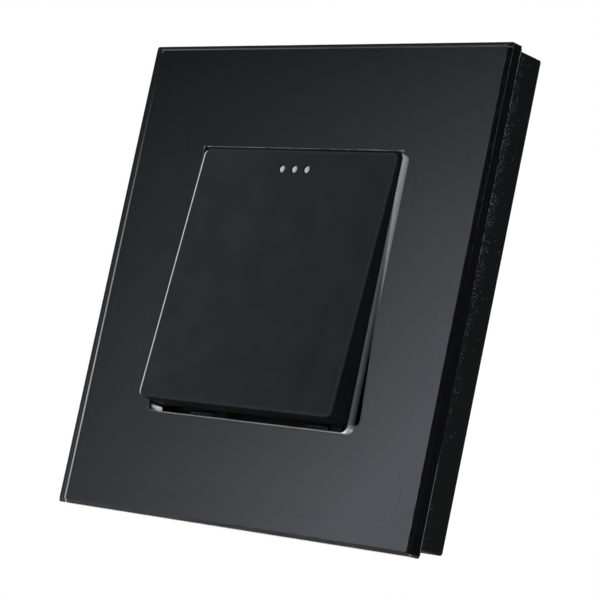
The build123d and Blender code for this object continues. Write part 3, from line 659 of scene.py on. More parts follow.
    def ground(self, sheet: NodeSheet, tone: Socket) -> Socket:
        """Adds the ground finish of a wall or an arris, with lines along the wall.

        Args:
            sheet: the material's sheet.
            tone: how light the ground glass is.

        Returns:
            The shader's socket.
        """
        x = sheet.point[0]
        grain = sheet.noise(self.score_size, Grain.ALONG_WALL)
        depth = sheet.both(sheet.levels(grain, self.score_span, (0.0, self.score_depth)), sheet.above(x, 0.0))
        scored = sheet.blend(depth, tone, BLACK)
        share = sheet.levels(x, span(0.0, -5.0, 5.0), self.glow_shares)
        return sheet.mixed(share, sheet.made("ShaderNodeBsdfTranslucent", Color=scored), sheet.matt(scored))

    def wall(self, sheet: NodeSheet) -> Socket:
        """Works out the window walls' tones: painted light on the right wall and along the foot, painted
        shade elsewhere.

        Args:
            sheet: the material's sheet.

        Returns:
            The tone's socket.
        """
        half, foot, head = self.window_half, self.foot, self.head
        x, y, z = sheet.point
        # painted shade on the left wall
        left = sheet.fall(x, span(-half, 0.2, 1.3))
        # painted light on the right wall, except near its top
        right = sheet.both(sheet.rise(x, span(half, -1.4, -1.1)), sheet.fall(z, span(head, -0.7, -0.25)))
        height = sheet.minus(z, sheet.levels(x, span(-half, 0.2, 1.3), (self.corner_lift, 0.0)))
        # painted light along the foot of the walls, cut aslant on the left
        low = sheet.both(sheet.fall(height, span(foot, 0.75, 1.0)), self.left_corner(sheet))
        depth = sheet.rise(y, (self.front_y, self.back_y))
        # painted shadow of the key on the right wall, its edge deeper in the wall lower down, with a dim
        # painted light fading with depth inside it
        past = sheet.rise(sheet.minus(depth, sheet.fall(z, span(0.0, -4.0, 16.0))), (0.0, 0.12))
        bright = sheet.both(past, sheet.levels(depth, (0.5, 1.0), (1.0, 0.5)))
        dim = sheet.levels(depth, (0.3, 0.85), (0.4, 0.08))
        lit = sheet.blend(sheet.either(sheet.either(bright, dim), low), self.shaded_tone, self.wall_tone)
        # painted shade on the top wall
        shaded = sheet.blend(sheet.rise(z, span(head, -0.8, 0.0)), self.shaded_tone, self.top_shade_tone)
        return sheet.blend(sheet.either(right, low), sheet.blend(left, shaded, self.left_painted_tone), lit)

    def left_corner(self, sheet: NodeSheet) -> Socket:
        """Works out the painted light on the foot of the left wall, cut off aslant towards the window's
        corner by painted shade.

        Args:
            sheet: the material's sheet.

        Returns:
            The share of painted light, which is 1 away from that wall.
        """
        x, y, z = sheet.point
        depth = sheet.minus(y, self.front_y)
        aslant = sheet.plus(sheet.minus(z, self.foot), sheet.both(depth, self.corner_slant))
        cut = sheet.both(sheet.rise(aslant, span(0.0, 0.55, 0.85)), sheet.rise(depth, span(0.0, 0.35, 0.8)))
        light = sheet.both(cut, sheet.levels(depth, span(0.0, 0.3, 2.2), (0.45, 1.0)))
        return sheet.either(sheet.rise(x, span(-self.window_half, 0.2, 1.3)), light)

    def painted_line_ends(self, sheet: NodeSheet) -> Socket:
        """Returns where light is painted on the right rear arris: near its two ends only."""
        z = sheet.point[2]
        return sheet.either(sheet.rise(z, span(0.0, 0.0, 10.0)), sheet.fall(z, span(0.0, -28.0, -24.5)))

    def arris(self, sheet: NodeSheet) -> Socket:
        """Works out the tone of the ground rear arris, with light painted in by place: lighter towards its
        lower end.

        Args:
            sheet: the material's sheet.

        Returns:
            The tone's socket.
        """
        x, _, z = sheet.point
        # painted light: lighter low down, along the whole left arris, only near the two ends on the right,
        # faint along the top
        height = sheet.levels(z, (-self.half, 0.64 * self.half), (1.0, 0.08))
        ends = sheet.both(sheet.levels(z, span(0.0, -40.0, -25.0), (0.6, 1.0)),
                          sheet.fall(z, span(0.0, 24.0, 38.0)))
        shown = sheet.both(ends, sheet.either(self.painted_line_ends(sheet), sheet.below(x, 0.0)))
        top = sheet.both(sheet.above(z, self.half - 2 * self.rear_bevel),
                         sheet.levels(x, span(0.0, -35.0, 5.0), (0.17, 0.083)))
        return sheet.blend(sheet.either(sheet.both(height, shown), top), BLACK, self.arris_tone)

    def arris_highlights(self, sheet: NodeSheet) -> Socket:
        """Works out the highlights painted in lines and dashes along the outer arrises, and the glints
        painted as dots on the front bevel.

        Args:
            sheet: the material's sheet.

        Returns:
            The share of painted highlight.
        """
        edge = self.edge(sheet)
        _, y, z = sheet.point
        side_y, face_edge = self.front_y + self.bevel_depth, self.half - self.bevel_width
        # painted highlights: along the front face's edge, lighter low down; along the side, only on the upper
        # half; along the rear arris near its ends, unbroken at its foot
        face_share = sheet.levels(z, span(0.0, -35.0, -10.0), (0.3, 0.08))
        side_share = sheet.levels(z, span(0.0, 2.0, 25.0), (0.0, 0.14))
        rear_share = sheet.both(self.painted_line_ends(sheet), self.rear_line_share)
        steady = sheet.levels(z, span(0.0, -32.0, -24.5), (0.9, 0.0))
        lines = (
            (face_edge, self.front_y, face_share, self.line_width, 0.0),
            (self.half, side_y, side_share, self.line_width, 0.0),
            (self.half, self.back_y - self.rear_bevel, rear_share, self.rear_line_width, steady),
        )
        _, chance = sheet.cells(self.bevel_glint_size)
        _, dots = sheet.cells(self.dot_size)
        bevel = sheet.both(sheet.above(edge, face_edge), sheet.fall(y, (side_y - self.margin, side_y)))
        share = sheet.both(sheet.both(sheet.above(chance, self.bevel_glint_limit), self.bevel_glint_share), bevel)
        for reach, line_y, strength, width, least in lines:
            gap = sheet.either(sheet.offset(edge, reach), sheet.offset(y, line_y))
            line = sheet.both(sheet.fall(gap, (width / 2, width)), strength)
            dotted = sheet.either(sheet.above(dots, self.dot_limit), least)
            share = sheet.either(share, sheet.both(line, dotted))
        return share


@dataclass(frozen=True)
class MilkyPlastic(Finish):
    """Translucent plastic that spreads a lamp's light."""

    roughness: float = 0.35
    scatter: float = 0.4
    scatter_reach: float = 0.2 * MM
    cloud_size: float = 0.4 * MM
    cloud_share: float = 0.15
    cloud_tone: float = 0.8
    cloud_depth: float = 0.002 * MM

    def shader(self, sheet: NodeSheet) -> Socket:
        """Adds faint clouds inside the milky plastic.

        Args:
            sheet: the material's sheet.

        Returns:
            The shader's socket.
        """
        clouds = sheet.noise(self.cloud_size)
        shade = sheet.levels(clouds, NOISE_SPAN, (0.0, self.cloud_share))
        return sheet.principled(
            Base_Color=sheet.blend(shade, self.color, toned(self.color, self.cloud_tone)),
            Roughness=self.roughness, Subsurface_Weight=self.scatter, Subsurface_Scale=self.scatter_reach,
            Normal=sheet.relief(clouds, self.cloud_depth))


@dataclass(frozen=True)
class SolderMask(Finish):
    """Lacquered circuit board whose copper tracks show as faint raised lines."""

    track_color: Color
    track_pitch: float = 0.7 * MM
    track_edge: Span = (0.31, 0.35)
    track_limit: float = 0.45
    field_size: float = 6.0 * MM
    hole_pitch: float = 1.3 * MM
    hole_edge: Span = (0.2, 0.24)
    hole_limit: float = 0.85
    copper_depth: float = 0.01 * MM

    def shader(self, sheet: NodeSheet) -> Socket:
        """Adds the tracks and plated holes under the lacquer.

        Args:
            sheet: the material's sheet.

        Returns:
            The shader's socket.
        """
        x, _, z = sheet.point
        jog = sheet.plus(sheet.levels(x, span(0.0, -4.0, -2.0), (0.0, 2.0 * MM)),
                         sheet.levels(x, span(0.0, 7.0, 8.5), (0.0, -1.5 * MM)))
        wave = sheet.math("PINGPONG", sheet.math("DIVIDE", sheet.plus(z, jog), self.track_pitch), 0.5)
        _, chance = sheet.cells(self.field_size)
        track = sheet.both(sheet.rise(wave, self.track_edge), sheet.above(chance, self.track_limit))
        near, rarity = sheet.cells(self.hole_pitch)
        hole = sheet.both(sheet.fall(near, self.hole_edge), sheet.above(rarity, self.hole_limit))
        copper = sheet.either(track, hole)
        return sheet.principled(
            Base_Color=sheet.blend(copper, self.color, self.track_color), Roughness=0.28,
            Coat_Weight=0.4, Coat_Roughness=0.15, Normal=sheet.relief(copper, self.copper_depth))


@dataclass(frozen=True)
class FoamTape(Finish):
    """Closed-cell foam with a torn, matt edge."""

    cell_size: float = 0.35 * MM
    cell_edge: Span = (0.1, 0.6)
    cell_depth: float = 0.06 * MM
    cell_tone: float = 0.6

    def shader(self, sheet: NodeSheet) -> Socket:
        """Adds the closed cells of the foam.

        Args:
            sheet: the material's sheet.

        Returns:
            The shader's socket.
        """
        distance, _ = sheet.cells(self.cell_size)
        shade = sheet.levels(distance, self.cell_edge, (0.0, 0.5))
        return sheet.principled(
            Base_Color=sheet.blend(shade, toned(self.color, self.cell_tone), self.color), Roughness=0.85,
            Specular_IOR_Level=0.25, Normal=sheet.relief(distance, self.cell_depth, 0.6))


def select_only(piece: Piece) -> None:
    """Selects one object and makes it active.

    Args:
        piece: the object.
    """
    bpy.ops.object.select_all(action="DESELECT")
    piece.select_set(True)
    bpy.context.view_layer.objects.active = piece


@contextmanager
def editing(piece: Piece, everything: bool = True) -> Iterator[None]:
    """Opens a piece in edit mode, and closes it again at the end of the block.

    Args:
        piece: the object.
        everything: whether its whole mesh is selected first.

    Yields:
        Nothing, while the piece is open.
    """
    select_only(piece)
    bpy.ops.object.mode_set(mode="EDIT")
    if everything:
        bpy.ops.mesh.select_all(action="SELECT")
    yield
    bpy.ops.object.mode_set(mode="OBJECT")


def apply_modifier(piece: Piece, kind: str, **settings: object) -> None:
    """Adds a modifier to a piece and applies it.

    Args:
        piece: the object.
        kind: the modifier's type.
        settings: its properties.
    """
    modifier = piece.modifiers.new(kind.lower(), kind)
    for key, value in settings.items():
        setattr(modifier, key, value)
    select_only(piece)
    bpy.ops.object.modifier_apply(modifier=modifier.name)


def join(pieces: list[Piece], name: str) -> Piece:
    """Joins pieces into the first of them.

    Args:
        pieces: the objects.
        name: the joined object's name.

    Returns:
        The joined object.
    """
    select_only(pieces[0])
    for piece in pieces:
        piece.select_set(True)
    bpy.ops.object.join()
    pieces[0].name = name
    return pieces[0]


def shift(piece: Piece, place: Vector) -> None:
    """Moves a piece's mesh and leaves its origin where it was."""
    with editing(piece):
        bpy.ops.transform.translate(value=place)


def twin(piece: Piece, name: str, place: Vector) -> Piece:
    """Copies a piece with a mesh of its own.

    Args:
        piece: the object to copy.
        name: the copy's name.
        place: how far the copy's mesh moves.

    Returns:
        The copy.
    """
    copy = piece.copy()
    copy.data = piece.data.copy()
    copy.name = name
    bpy.context.scene.collection.objects.link(copy)
    shift(copy, place)
    return copy


def drawn_line(points: list[Vector]) -> Piece:
    """Draws a chain of edges through points.

    Args:
        points: the points in order.

    Returns:
        The chain's object.
    """
    bpy.ops.mesh.primitive_plane_add(size=MM, location=ORIGIN)
    line = bpy.context.active_object
    with editing(line):
        bpy.ops.mesh.merge(type="CENTER")
        bpy.ops.transform.translate(value=points[0])
        for start, end in zip(points, points[1:]):
            bpy.ops.mesh.extrude_region_move(TRANSFORM_OT_translate={"value": end - start})
    return line


def tidy(piece: Piece, angle: float = 40.0, capped: bool = False) -> None:
    """Merges doubled points, turns every face outward and smooths the gentle edges.

    Args:
        piece: the object.
        angle: the sharpest edge that is smoothed, in degrees.
        capped: whether the open ends of a wire are closed too.
    """
    with editing(piece):
        bpy.ops.mesh.remove_doubles(threshold=WELD)
        if capped:
            bpy.ops.mesh.select_all(action="DESELECT")
            bpy.ops.mesh.select_non_manifold()
            bpy.ops.mesh.fill()
            bpy.ops.mesh.select_all(action="SELECT")
        bpy.ops.mesh.normals_make_consistent(inside=False)
    bpy.ops.object.shade_smooth_by_angle(angle=math.radians(angle))


def turned(profile: list[tuple[float, float]], steps: int) -> Piece:
    """Turns a profile round the Y axis.

    Args:
        profile: radius and distance off the wall of each point.
        steps: how many sides the turned shape has.

    Returns:
        The turned object.
    """
    shape = drawn_line([Vector((radius, -out, 0.0)) for radius, out in profile])
    apply_modifier(shape, "SCREW", axis="Y", steps=steps, render_steps=steps, use_merge_vertices=True,
                   merge_threshold=WELD)
    tidy(shape)
    return shape


def wound(radius: float, section: float, sides: int, start_y: float, pitch: float, turns: int) -> Piece:
    """Winds a wire or a thread round the Y axis.

    Args:
        radius: the radius of the winding.
        section: the radius of the wire.
        sides: how many sides the wire has.
        start_y: where the wire's middle starts.
        pitch: how far the wire moves outwards in one turn.
        turns: how many turns it makes.

    Returns:
        The winding's object.
    """
    bpy.ops.mesh.primitive_circle_add(vertices=sides, radius=section, location=(radius, start_y, 0.0))
    winding = bpy.context.active_object
    bpy.ops.object.transform_apply(location=True, rotation=False, scale=False)
    apply_modifier(winding, "SCREW", axis="Y", steps=28, render_steps=28, iterations=turns,
                   screw_offset=-pitch, use_normal_calculate=True)
    return winding


def enlist(piece: Piece, material: Material, replaces: str = "", body: str = "base") -> None:
    """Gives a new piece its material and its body.

    Args:
        piece: the object.
        material: its material.
        replaces: the solid that it stands for, if any.
        body: the body that it moves with.
    """
    piece.data.materials.clear()
    piece.data.materials.append(material)
    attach(piece, body)
    if replaces:
        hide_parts(replaces)
    LOG.info("modelled %s", piece.name)


@dataclass(frozen=True)
class SoftLamp:
    """A square lamp that points at the object."""

    name: str
    place: tuple[float, float, float]
    side: float
    power: float

    def hang(self) -> None:
        """Hangs the lamp in its place, unseen by what mirrors it."""
        light = bpy.data.lights.new(self.name, "AREA")
        light.shape = "SQUARE"
        light.size = self.side
        light.energy = self.power
        lamp = bpy.data.objects.new(self.name, light)
        bpy.context.scene.collection.objects.link(lamp)
        place = Vector(self.place)
        lamp.matrix_world = Matrix.Translation(place) @ (-place).to_track_quat("-Z", "Y").to_matrix().to_4x4()
        lamp.visible_glossy = False


@dataclass
class Studio:
    """The camera, the lamps, the white surroundings and the floor."""

    camera_place: Vector = field(default_factory=lambda: Vector((340.40, -344.30, -66.38)) * MM)
    camera_target: Vector = field(default_factory=lambda: Vector((7.40, -9.30, -2.785)) * MM)
    camera_roll: float = math.radians(-11.845)
    lens: float = 167.74
    nearest: float = 0.01
    floor_z: float = -0.16
    floor_side: float = 6.0
    floor_fade: Span = (0.25, 0.8)
    chalk: Color = (0.85, 0.85, 0.85)
    soft_light: float = 0.24
    low_light: float = 0.06
    low_span: Span = (-0.5, 0.2)
    panel_edge: float = 0.6778
    panel_slope: float = 0.30
    panel_top: float = 0.17
    panel_top_slope: float = 0.37
    panel_rise: float = 15.2
    panel_limit: float = 1.7
    panel_least: float = 0.07
    panel_color: Color = (0.95, 1.0, 1.12)
    lamps: tuple[SoftLamp, ...] = (
        SoftLamp("side_lamp", (-0.95, -0.55, 0.1), side=0.6, power=10.0),
        SoftLamp("front_lamp", (-0.2, -1.15, 0.1), side=0.35, power=5.5),
        SoftLamp("fill_lamp", (0.75, -0.85, 0.0), side=0.4, power=4.5),
    )

    def build(self) -> None:
        """Makes everything that lights, shows or carries the object."""
        self.camera()
        self.surroundings()
        self.floor()
        for lamp in self.lamps:
            lamp.hang()

    def camera(self) -> None:
        """Places the camera where the photograph was taken."""
        lens = bpy.data.cameras.new("camera")
        lens.lens = self.lens
        lens.clip_start = self.nearest
        camera = bpy.data.objects.new("camera", lens)
        bpy.context.scene.collection.objects.link(camera)
        level = (self.camera_target - self.camera_place).to_track_quat("-Z", "Y").to_matrix().to_4x4()
        roll = Matrix.Rotation(-self.camera_roll, 4, "Z")
        camera.matrix_world = Matrix.Translation(self.camera_place) @ level @ roll
        bpy.context.scene.camera = camera

    def surroundings(self) -> None:
        """Makes the white background and the graded panels that the glass mirrors."""
        world = bpy.data.worlds.new("studio")
        bpy.context.scene.world = world
        world.use_nodes = True
        sheet = NodeSheet(world.node_tree)
        path = sheet.path
        _, y, z = sheet.parts(sheet.add("ShaderNodeTexCoord").outputs["Generated"])
        high = sheet.either(sheet.minus(z, self.panel_top), 0.0)
        slope = sheet.plus(sheet.both(z, self.panel_slope), sheet.both(high, self.panel_top_slope))
        front = sheet.minus(sheet.both(y, -1.0), slope)
        rise = sheet.both(sheet.minus(front, self.panel_edge), self.panel_rise)
        graded = sheet.either(sheet.math("EXPONENT", rise), self.panel_least)
        panel = sheet.math("MINIMUM", graded, self.panel_limit)
        unlit = sheet.minus(1.0, sheet.math("MINIMUM", path["Diffuse Depth"], 1.0))
        seen = sheet.either(path["Is Camera Ray"], sheet.both(path["Is Transmission Ray"], unlit))
        dim = sheet.levels(z, self.low_span, (self.low_light, self.soft_light), smooth=True)
        plain = sheet.made("ShaderNodeBackground", Color=WHITE, Strength=sheet.either(seen, dim))
        mirrored = sheet.made("ShaderNodeBackground", Color=self.panel_color, Strength=panel)
        sheet.finish(sheet.mixed(path["Is Glossy Ray"], plain, mirrored), "ShaderNodeOutputWorld")

    def floor(self) -> None:
        """Lays the pale floor, which fades to white away from the object."""
        bpy.ops.mesh.primitive_plane_add(size=self.floor_side, location=(0.0, 0.0, self.floor_z))
        floor = bpy.context.active_object
        floor.name = "floor"
        material, sheet = fresh_material("pale_floor")
        x, y, _ = sheet.point
        fade = sheet.rise(sheet.length(x, y), self.floor_fade, smooth=True)
        seen = sheet.either(sheet.path["Is Camera Ray"], sheet.path["Is Glossy Ray"])
        glow = sheet.made("ShaderNodeEmission", Color=WHITE)
        sheet.finish(sheet.mixed(sheet.both(fade, seen), sheet.matt(self.chalk), glow))
        floor.data.materials.append(material)


@dataclass
class Assembly:
    """A sub-assembly of the switch, with the frame's solids by name."""

    nodes: dict[str, Piece]

    def dress(self, finish: Finish, *names: str) -> Material:
        """Gives solids of the frame one finish.

        Args:
            finish: the finish.
            names: the solids' names.

        Returns:
            The finish's material.
        """
        material = finish.material()
        for name in names:
            for entry in self.nodes[name].material_slots:
                entry.link = "OBJECT"
                entry.material = material
            LOG.info("dressed %s", name)
        return material


@dataclass
class GlassFront(Assembly):
    """The glass plate and its black backing."""

    def build(self) -> None:
        """Dresses the glass and the backing."""
        front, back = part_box("glass_plate")
        # the glass, with painted light, shade and highlights on its window walls and arrises
        self.dress(BlackBackedGlass("black_backed_glass", (0.97, 0.985, 0.98), front.y, back.y),
                   "glass_plate")
        self.dress(MouldedPlastic("backing_sheet", (0.008, 0.008, 0.0085), roughness=0.7), "glass_backing")


@dataclass
class Housing(Assembly):
    """The frame behind the glass, the wall plate and its tapes."""

    def build(self) -> None:
        """Dresses the frame, the wall plate and the tapes."""
        # the frame's plastic, with glints painted into its colour next to the glass
        self.dress(PaintedGlintPlastic("frame_plastic", (0.004, 0.0046, 0.0052), roughness=0.6,
                                   grain_depth=0.01 * MM, shine=0.18,
                                   glint_y=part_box("glass_backing")[1].y), "carrier_frame")
        self.dress(MouldedPlastic("wall_plate_plastic", (0.03, 0.03, 0.031), roughness=0.55,
                                  grain_size=0.3 * MM, grain_depth=0.02 * MM), "wall_plate")
        self.dress(FoamTape("foam_tape", (0.06, 0.06, 0.06)), "adhesive_pads")


@dataclass
class Key(Assembly):
    """The key, its light guides, pads and return springs."""

    spring_x: float = 18.0 * MM
    spring_z: float = -8.0 * MM
    floor_y: float = -2.4 * MM
    coil_radius: float = 1.85 * MM
    wire_radius: float = 0.2 * MM
    wire_sides: int = 10
    active_turns: int = 4
    pressed_share: float = 0.735
    hinge: Vector = field(default_factory=lambda: Vector((0.0, -5.0, 19.3)) * MM)
    tilt: float = math.radians(4.25)
    face_out: float = 9.96 * MM
    under_out: float = 8.16 * MM
    guide_z: float = 19.7 * MM
    guide_pitch: float = 3.0 * MM
    guide_radius: float = 0.75 * MM
    guide_sides: int = 32
    collar_radius: float = 1.15 * MM
    collar: float = 0.6 * MM
    rounding: float = 0.05 * MM
    dome: Places = (
        (1.0, 0.6), (0.7 / 0.75, 0.45), (0.68 / 0.75, 0.36), (0.84, 0.24), (0.72, 0.17), (0.5, 0.09),
        (0.25, 0.04), (0.0, 0.03))

    def build(self) -> None:
        """Dresses the key's solids, turns its light guides and winds its springs."""
        # the key's plastic, with a painted highlight round its face's rim and painted shade below and on the
        # right
        self.dress(PaintedLightKeyPlastic("key_plastic", (0.0139, 0.016, 0.0178), roughness=0.6,
                                 grain_size=0.15 * MM, grain_depth=0.003 * MM, shine=0.06), "key")
        milky = MilkyPlastic("light_guide", (0.34, 0.348, 0.355), roughness=0.6, scatter=0.08)
        self.guides(self.dress(milky, "light_guides"))
        self.dress(MouldedPlastic("silicone", (0.014, 0.014, 0.015), roughness=0.65, grain_size=0.2 * MM),
                   "key_stop_pads")
        self.springs(SheetSteel("spring_wire", (0.55, 0.55, 0.57), roughness=0.25).material())

    def guides(self, material: Material) -> None:
        """Turns one light guide with a collar and a domed tip, and puts one in each of the key's holes.

        The dome's points are shares of the guide's radius, and depths under the face in millimetres.

        Args:
            material: the guides' material.
        """
        foot = self.under_out - self.collar
        guide = turned([
            (0.0, foot), (self.collar_radius - self.rounding, foot),
            (self.collar_radius, foot + self.rounding), (self.collar_radius, self.under_out),
            (self.guide_radius, self.under_out),
            *((self.guide_radius * share, self.face_out - drop * MM) for share, drop in self.dome),
        ], self.guide_sides)
        shift(guide, Vector((0.0, 0.0, self.guide_z)))
        with editing(guide):
            bpy.ops.transform.rotate(value=self.tilt, orient_axis="X", center_override=self.hinge)
        for step in (-1, 0, 1):
            copy = twin(guide, f"light_guide_{step + 2}", Vector((step * self.guide_pitch, 0.0, 0.0)))
            enlist(copy, material, replaces="light_guides", body="key")
        bpy.data.objects.remove(guide)

    def springs(self, material: Material) -> None:
        """Winds the two return springs with closed end turns.

        Args:
            material: the wire's material.
        """
        closed, start = 2 * self.wire_radius, self.floor_y - self.wire_radius
        height = self.floor_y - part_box("key_return_springs")[0].y - closed
        rise = (height - 2 * closed) / self.active_turns
        coils = []
        for pitch, turns in ((closed, 1), (rise, self.active_turns), (closed, 1)):
            coils.append(wound(self.coil_radius, self.wire_radius, self.wire_sides, start, pitch, turns))
            start -= pitch * turns
        spring = join(coils, "return_spring_left")
        tidy(spring, capped=True)
        shift(spring, Vector((-self.spring_x, 0.0, self.spring_z)))
        for piece in (spring, twin(spring, "return_spring_right", Vector((2 * self.spring_x, 0.0, 0.0)))):
            enlist(piece, material, replaces="key_return_springs")
            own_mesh(piece)


@dataclass
class PanScrew:
    """A pan-head screw with a cross recess and a thread."""

    seat: float
    tip: float = 1.7 * MM
    point: float = 0.45 * MM
    point_radius: float = 0.25 * MM
    core: float = 0.62 * MM
    neck: float = 0.8 * MM
    thread: float = 0.17 * MM
    thread_end: float = 0.7 * MM
    pitch: float = 0.42 * MM
    head: float = 1.6 * MM
    head_height: float = 0.9 * MM
    sides: int = 32
    cross_length: float = 1.9 * MM
    cross_width: float = 0.42 * MM
    cross_depth: float = 0.55 * MM
    cross_taper: float = 0.5

    def model(self) -> Piece:
        """Models the screw on the Y axis.

        Returns:
            The screw's object.
        """
        tip, seat, top, head = self.tip, self.seat, self.seat + self.head_height, self.head
        screw = turned([
            (0.0, tip), (self.point_radius, tip), (self.core, tip + self.point),
            (self.core, seat - 0.25 * MM), (self.neck, seat - 0.1 * MM), (self.neck, seat),
            (head - 0.05 * MM, seat), (head, seat + 0.05 * MM), (head, seat + 0.42 * MM),
            (head * 0.95, top - 0.3 * MM), (head * 0.84, top - 0.15 * MM),
            (head * 0.66, top - 0.05 * MM), (head * 0.4, top), (0.0, top),
        ], self.sides)
        plug = self.plug(top)
        apply_modifier(screw, "BOOLEAN", operation="DIFFERENCE", solver="EXACT", object=plug)
        bpy.data.objects.remove(plug)
        turns = int((seat - tip - self.thread_end) / self.pitch)
        ridge = wound(self.core, self.thread, 4, -(tip + self.point), self.pitch, turns)
        tidy(ridge, 30.0, capped=True)
        return join([screw, ridge], "screw")

    def plug(self, top: float) -> Piece:
        """Models the tapered cross that the recess is cut with.

        Args:
            top: the height of the head's top.

        Returns:
            The cross's object.
        """
        bars = []
        for length, width in ((self.cross_length, self.cross_width), (self.cross_width, self.cross_length)):
            bpy.ops.mesh.primitive_cube_add(size=1.0, location=ORIGIN)
            bar = bpy.context.active_object
            with editing(bar):
                bpy.ops.transform.resize(value=(length, 2 * self.cross_depth, width))
                bpy.ops.mesh.select_all(action="DESELECT")
            for polygon in bar.data.polygons:
                polygon.select = polygon.normal.y > 0.5
            with editing(bar, everything=False):
                bpy.ops.transform.resize(value=(self.cross_taper, 1.0, self.cross_taper),
                                         center_override=(0.0, self.cross_depth, 0.0))
            bars.append(bar)
        apply_modifier(bars[0], "BOOLEAN", operation="UNION", solver="EXACT", object=bars[1])
        bpy.data.objects.remove(bars[1])
        shift(bars[0], Vector((0.0, -top, 0.0)))
        return bars[0]

    def fit(self, places: Places, name: str, material: Material) -> None:
        """Puts one screw in each place.

        Args:
            places: X and Z of each screw.
            name: the solid that the screws stand for.
            material: their material.
        """
        first = self.model()
        for step, (x, z) in enumerate(places):
            screw = twin(first, f"{name}_{step}", Vector((x, 0.0, z)))
            enlist(screw, material, replaces=name)
        bpy.data.objects.remove(first)


@dataclass
class Generator(Assembly):
    """The tray, core, coil, rotor and leaf of the small power generator."""

    coil_z: float = 7.9 * MM
    coil_out: float = 4.3 * MM
    coil_corner: float = 1.0 * MM
    coil_middle: Vector = field(default_factory=lambda: Vector((0.0, -5.5, -1.7)) * MM)
    coil_start: float = -9.6 * MM
    coil_end: float = 0.6 * MM
    wire_radius: float = 0.13 * MM
    wire_gap: float = 2.02
    screw_seat: float = 4.2 * MM
    screw_places: Places = ((-17.4 * MM, -3.0 * MM), (-17.4 * MM, -19.6 * MM), (8.4 * MM, -9.0 * MM))

    def build(self) -> None:
        """Dresses the generator's solids, winds its coil and fits its screws."""
        self.dress(MouldedPlastic("tray_nylon", (0.09, 0.09, 0.095), grain_size=0.2 * MM), "generator_tray")
        self.dress(MouldedPlastic("white_nylon", (0.62, 0.6, 0.54), roughness=0.4, grain_size=0.2 * MM),
                   "coil_bobbin", "rotor_carrier")
        self.dress(SheetSteel("core_sheet", (0.36, 0.37, 0.39), roughness=0.38, grain=Grain.ALONG_Z),
                   "core_yoke", "core_leg")
        self.dress(SheetSteel("nickel_plate", (0.62, 0.6, 0.55), roughness=0.18), "magnet", "pole_plates")
        self.dress(SheetSteel("leaf_strip", (0.5, 0.5, 0.52), roughness=0.2), "snap_leaf")
        enamel = SheetSteel("copper_wire", (0.72, 0.3, 0.12), roughness=0.22)
        self.coil_turns(self.dress(enamel, "coil_leads", "coil_winding"))
        zinc = SheetSteel("zinc_screw", (0.62, 0.62, 0.58), roughness=0.28, grain=Grain.EVEN)
        PanScrew(self.screw_seat).fit(self.screw_places, "generator_screws",
                                      self.dress(zinc, "generator_screws"))

    def coil_turns(self, material: Material) -> None:
        """Winds the outer layer of wire, one rounded loop beside the other.

        Args:
            material: the wire's material.
        """
        bpy.ops.mesh.primitive_plane_add(size=1.0, location=ORIGIN)
        loop = bpy.context.active_object
        loop.name = "coil_turns"
        with editing(loop):
            bpy.ops.transform.resize(value=(self.coil_z, self.coil_out, 1.0))
            bpy.ops.mesh.bevel(affect="VERTICES", offset=self.coil_corner, segments=5)
            bpy.ops.mesh.delete(type="ONLY_FACE")
            bpy.ops.mesh.select_all(action="SELECT")
            bpy.ops.transform.rotate(value=math.radians(90), orient_axis="Y", center_override=ORIGIN)
        bpy.ops.object.convert(target="CURVE")
        loop = bpy.context.active_object
        loop.data.bevel_depth = self.wire_radius
        loop.data.bevel_resolution = 2
        bpy.ops.object.convert(target="MESH")
        loop = bpy.context.active_object
        pitch = self.wire_gap * self.wire_radius
        length = self.coil_end - self.coil_start
        count = int((length - 2 * self.wire_radius) / pitch) + 1
        apply_modifier(loop, "ARRAY", count=count, use_relative_offset=False, use_constant_offset=True,
                       constant_offset_displace=(pitch, 0.0, 0.0))
        spare = length - pitch * (count - 1)
        shift(loop, self.coil_middle + Vector((self.coil_start + spare / 2, 0.0, 0.0)))
        tidy(loop, 80.0)
        enlist(loop, material)


@dataclass
class TerminalRow:
    """Bent terminals at both ends of each component in a row."""

    name: str
    places: Places
    half: float
    width: float
    height: float
    lying: Lying
    board_out: float
    strip: float = 0.1 * MM
    foot: float = 0.35 * MM
    rounding: float = 0.02 * MM

    def bent(self) -> Piece:
        """Bends one terminal from the board up the end of a component at the origin.

        Returns:
            The terminal's object.
        """
        foot_y, end = -self.board_out - self.strip / 2, self.half + self.strip / 2
        bend = ((self.half + self.foot, foot_y), (self.half + self.strip, foot_y),
                (end, foot_y - self.strip / 2), (end, foot_y - self.height))
        strip = drawn_line([Vector((x, y, -self.width / 2)) for x, y in bend])
        with editing(strip):
            bpy.ops.mesh.extrude_region_move(TRANSFORM_OT_translate={"value": (0.0, 0.0, self.width)})
        apply_modifier(strip, "SOLIDIFY", thickness=self.strip, offset=0.0)
        apply_modifier(strip, "BEVEL", width=self.rounding, segments=2, limit_method="ANGLE")
        return strip

    def fit(self, material: Material) -> None:
        """Puts a terminal on both ends of each component.

        Args:
            material: the terminals' material.
        """
        strip = self.bent()
        for step, (x, z) in enumerate(self.places):
            for turn in self.lying.value:
                copy = twin(strip, f"{self.name}_terminal_{step}_{turn}", Vector())
                with editing(copy):
                    bpy.ops.transform.rotate(
                        value=math.radians(turn), orient_axis="Y", center_override=ORIGIN)
                    bpy.ops.transform.translate(value=(x, 0.0, z))
                tidy(copy, 30.0)
                enlist(copy, material)
        bpy.data.objects.remove(strip)


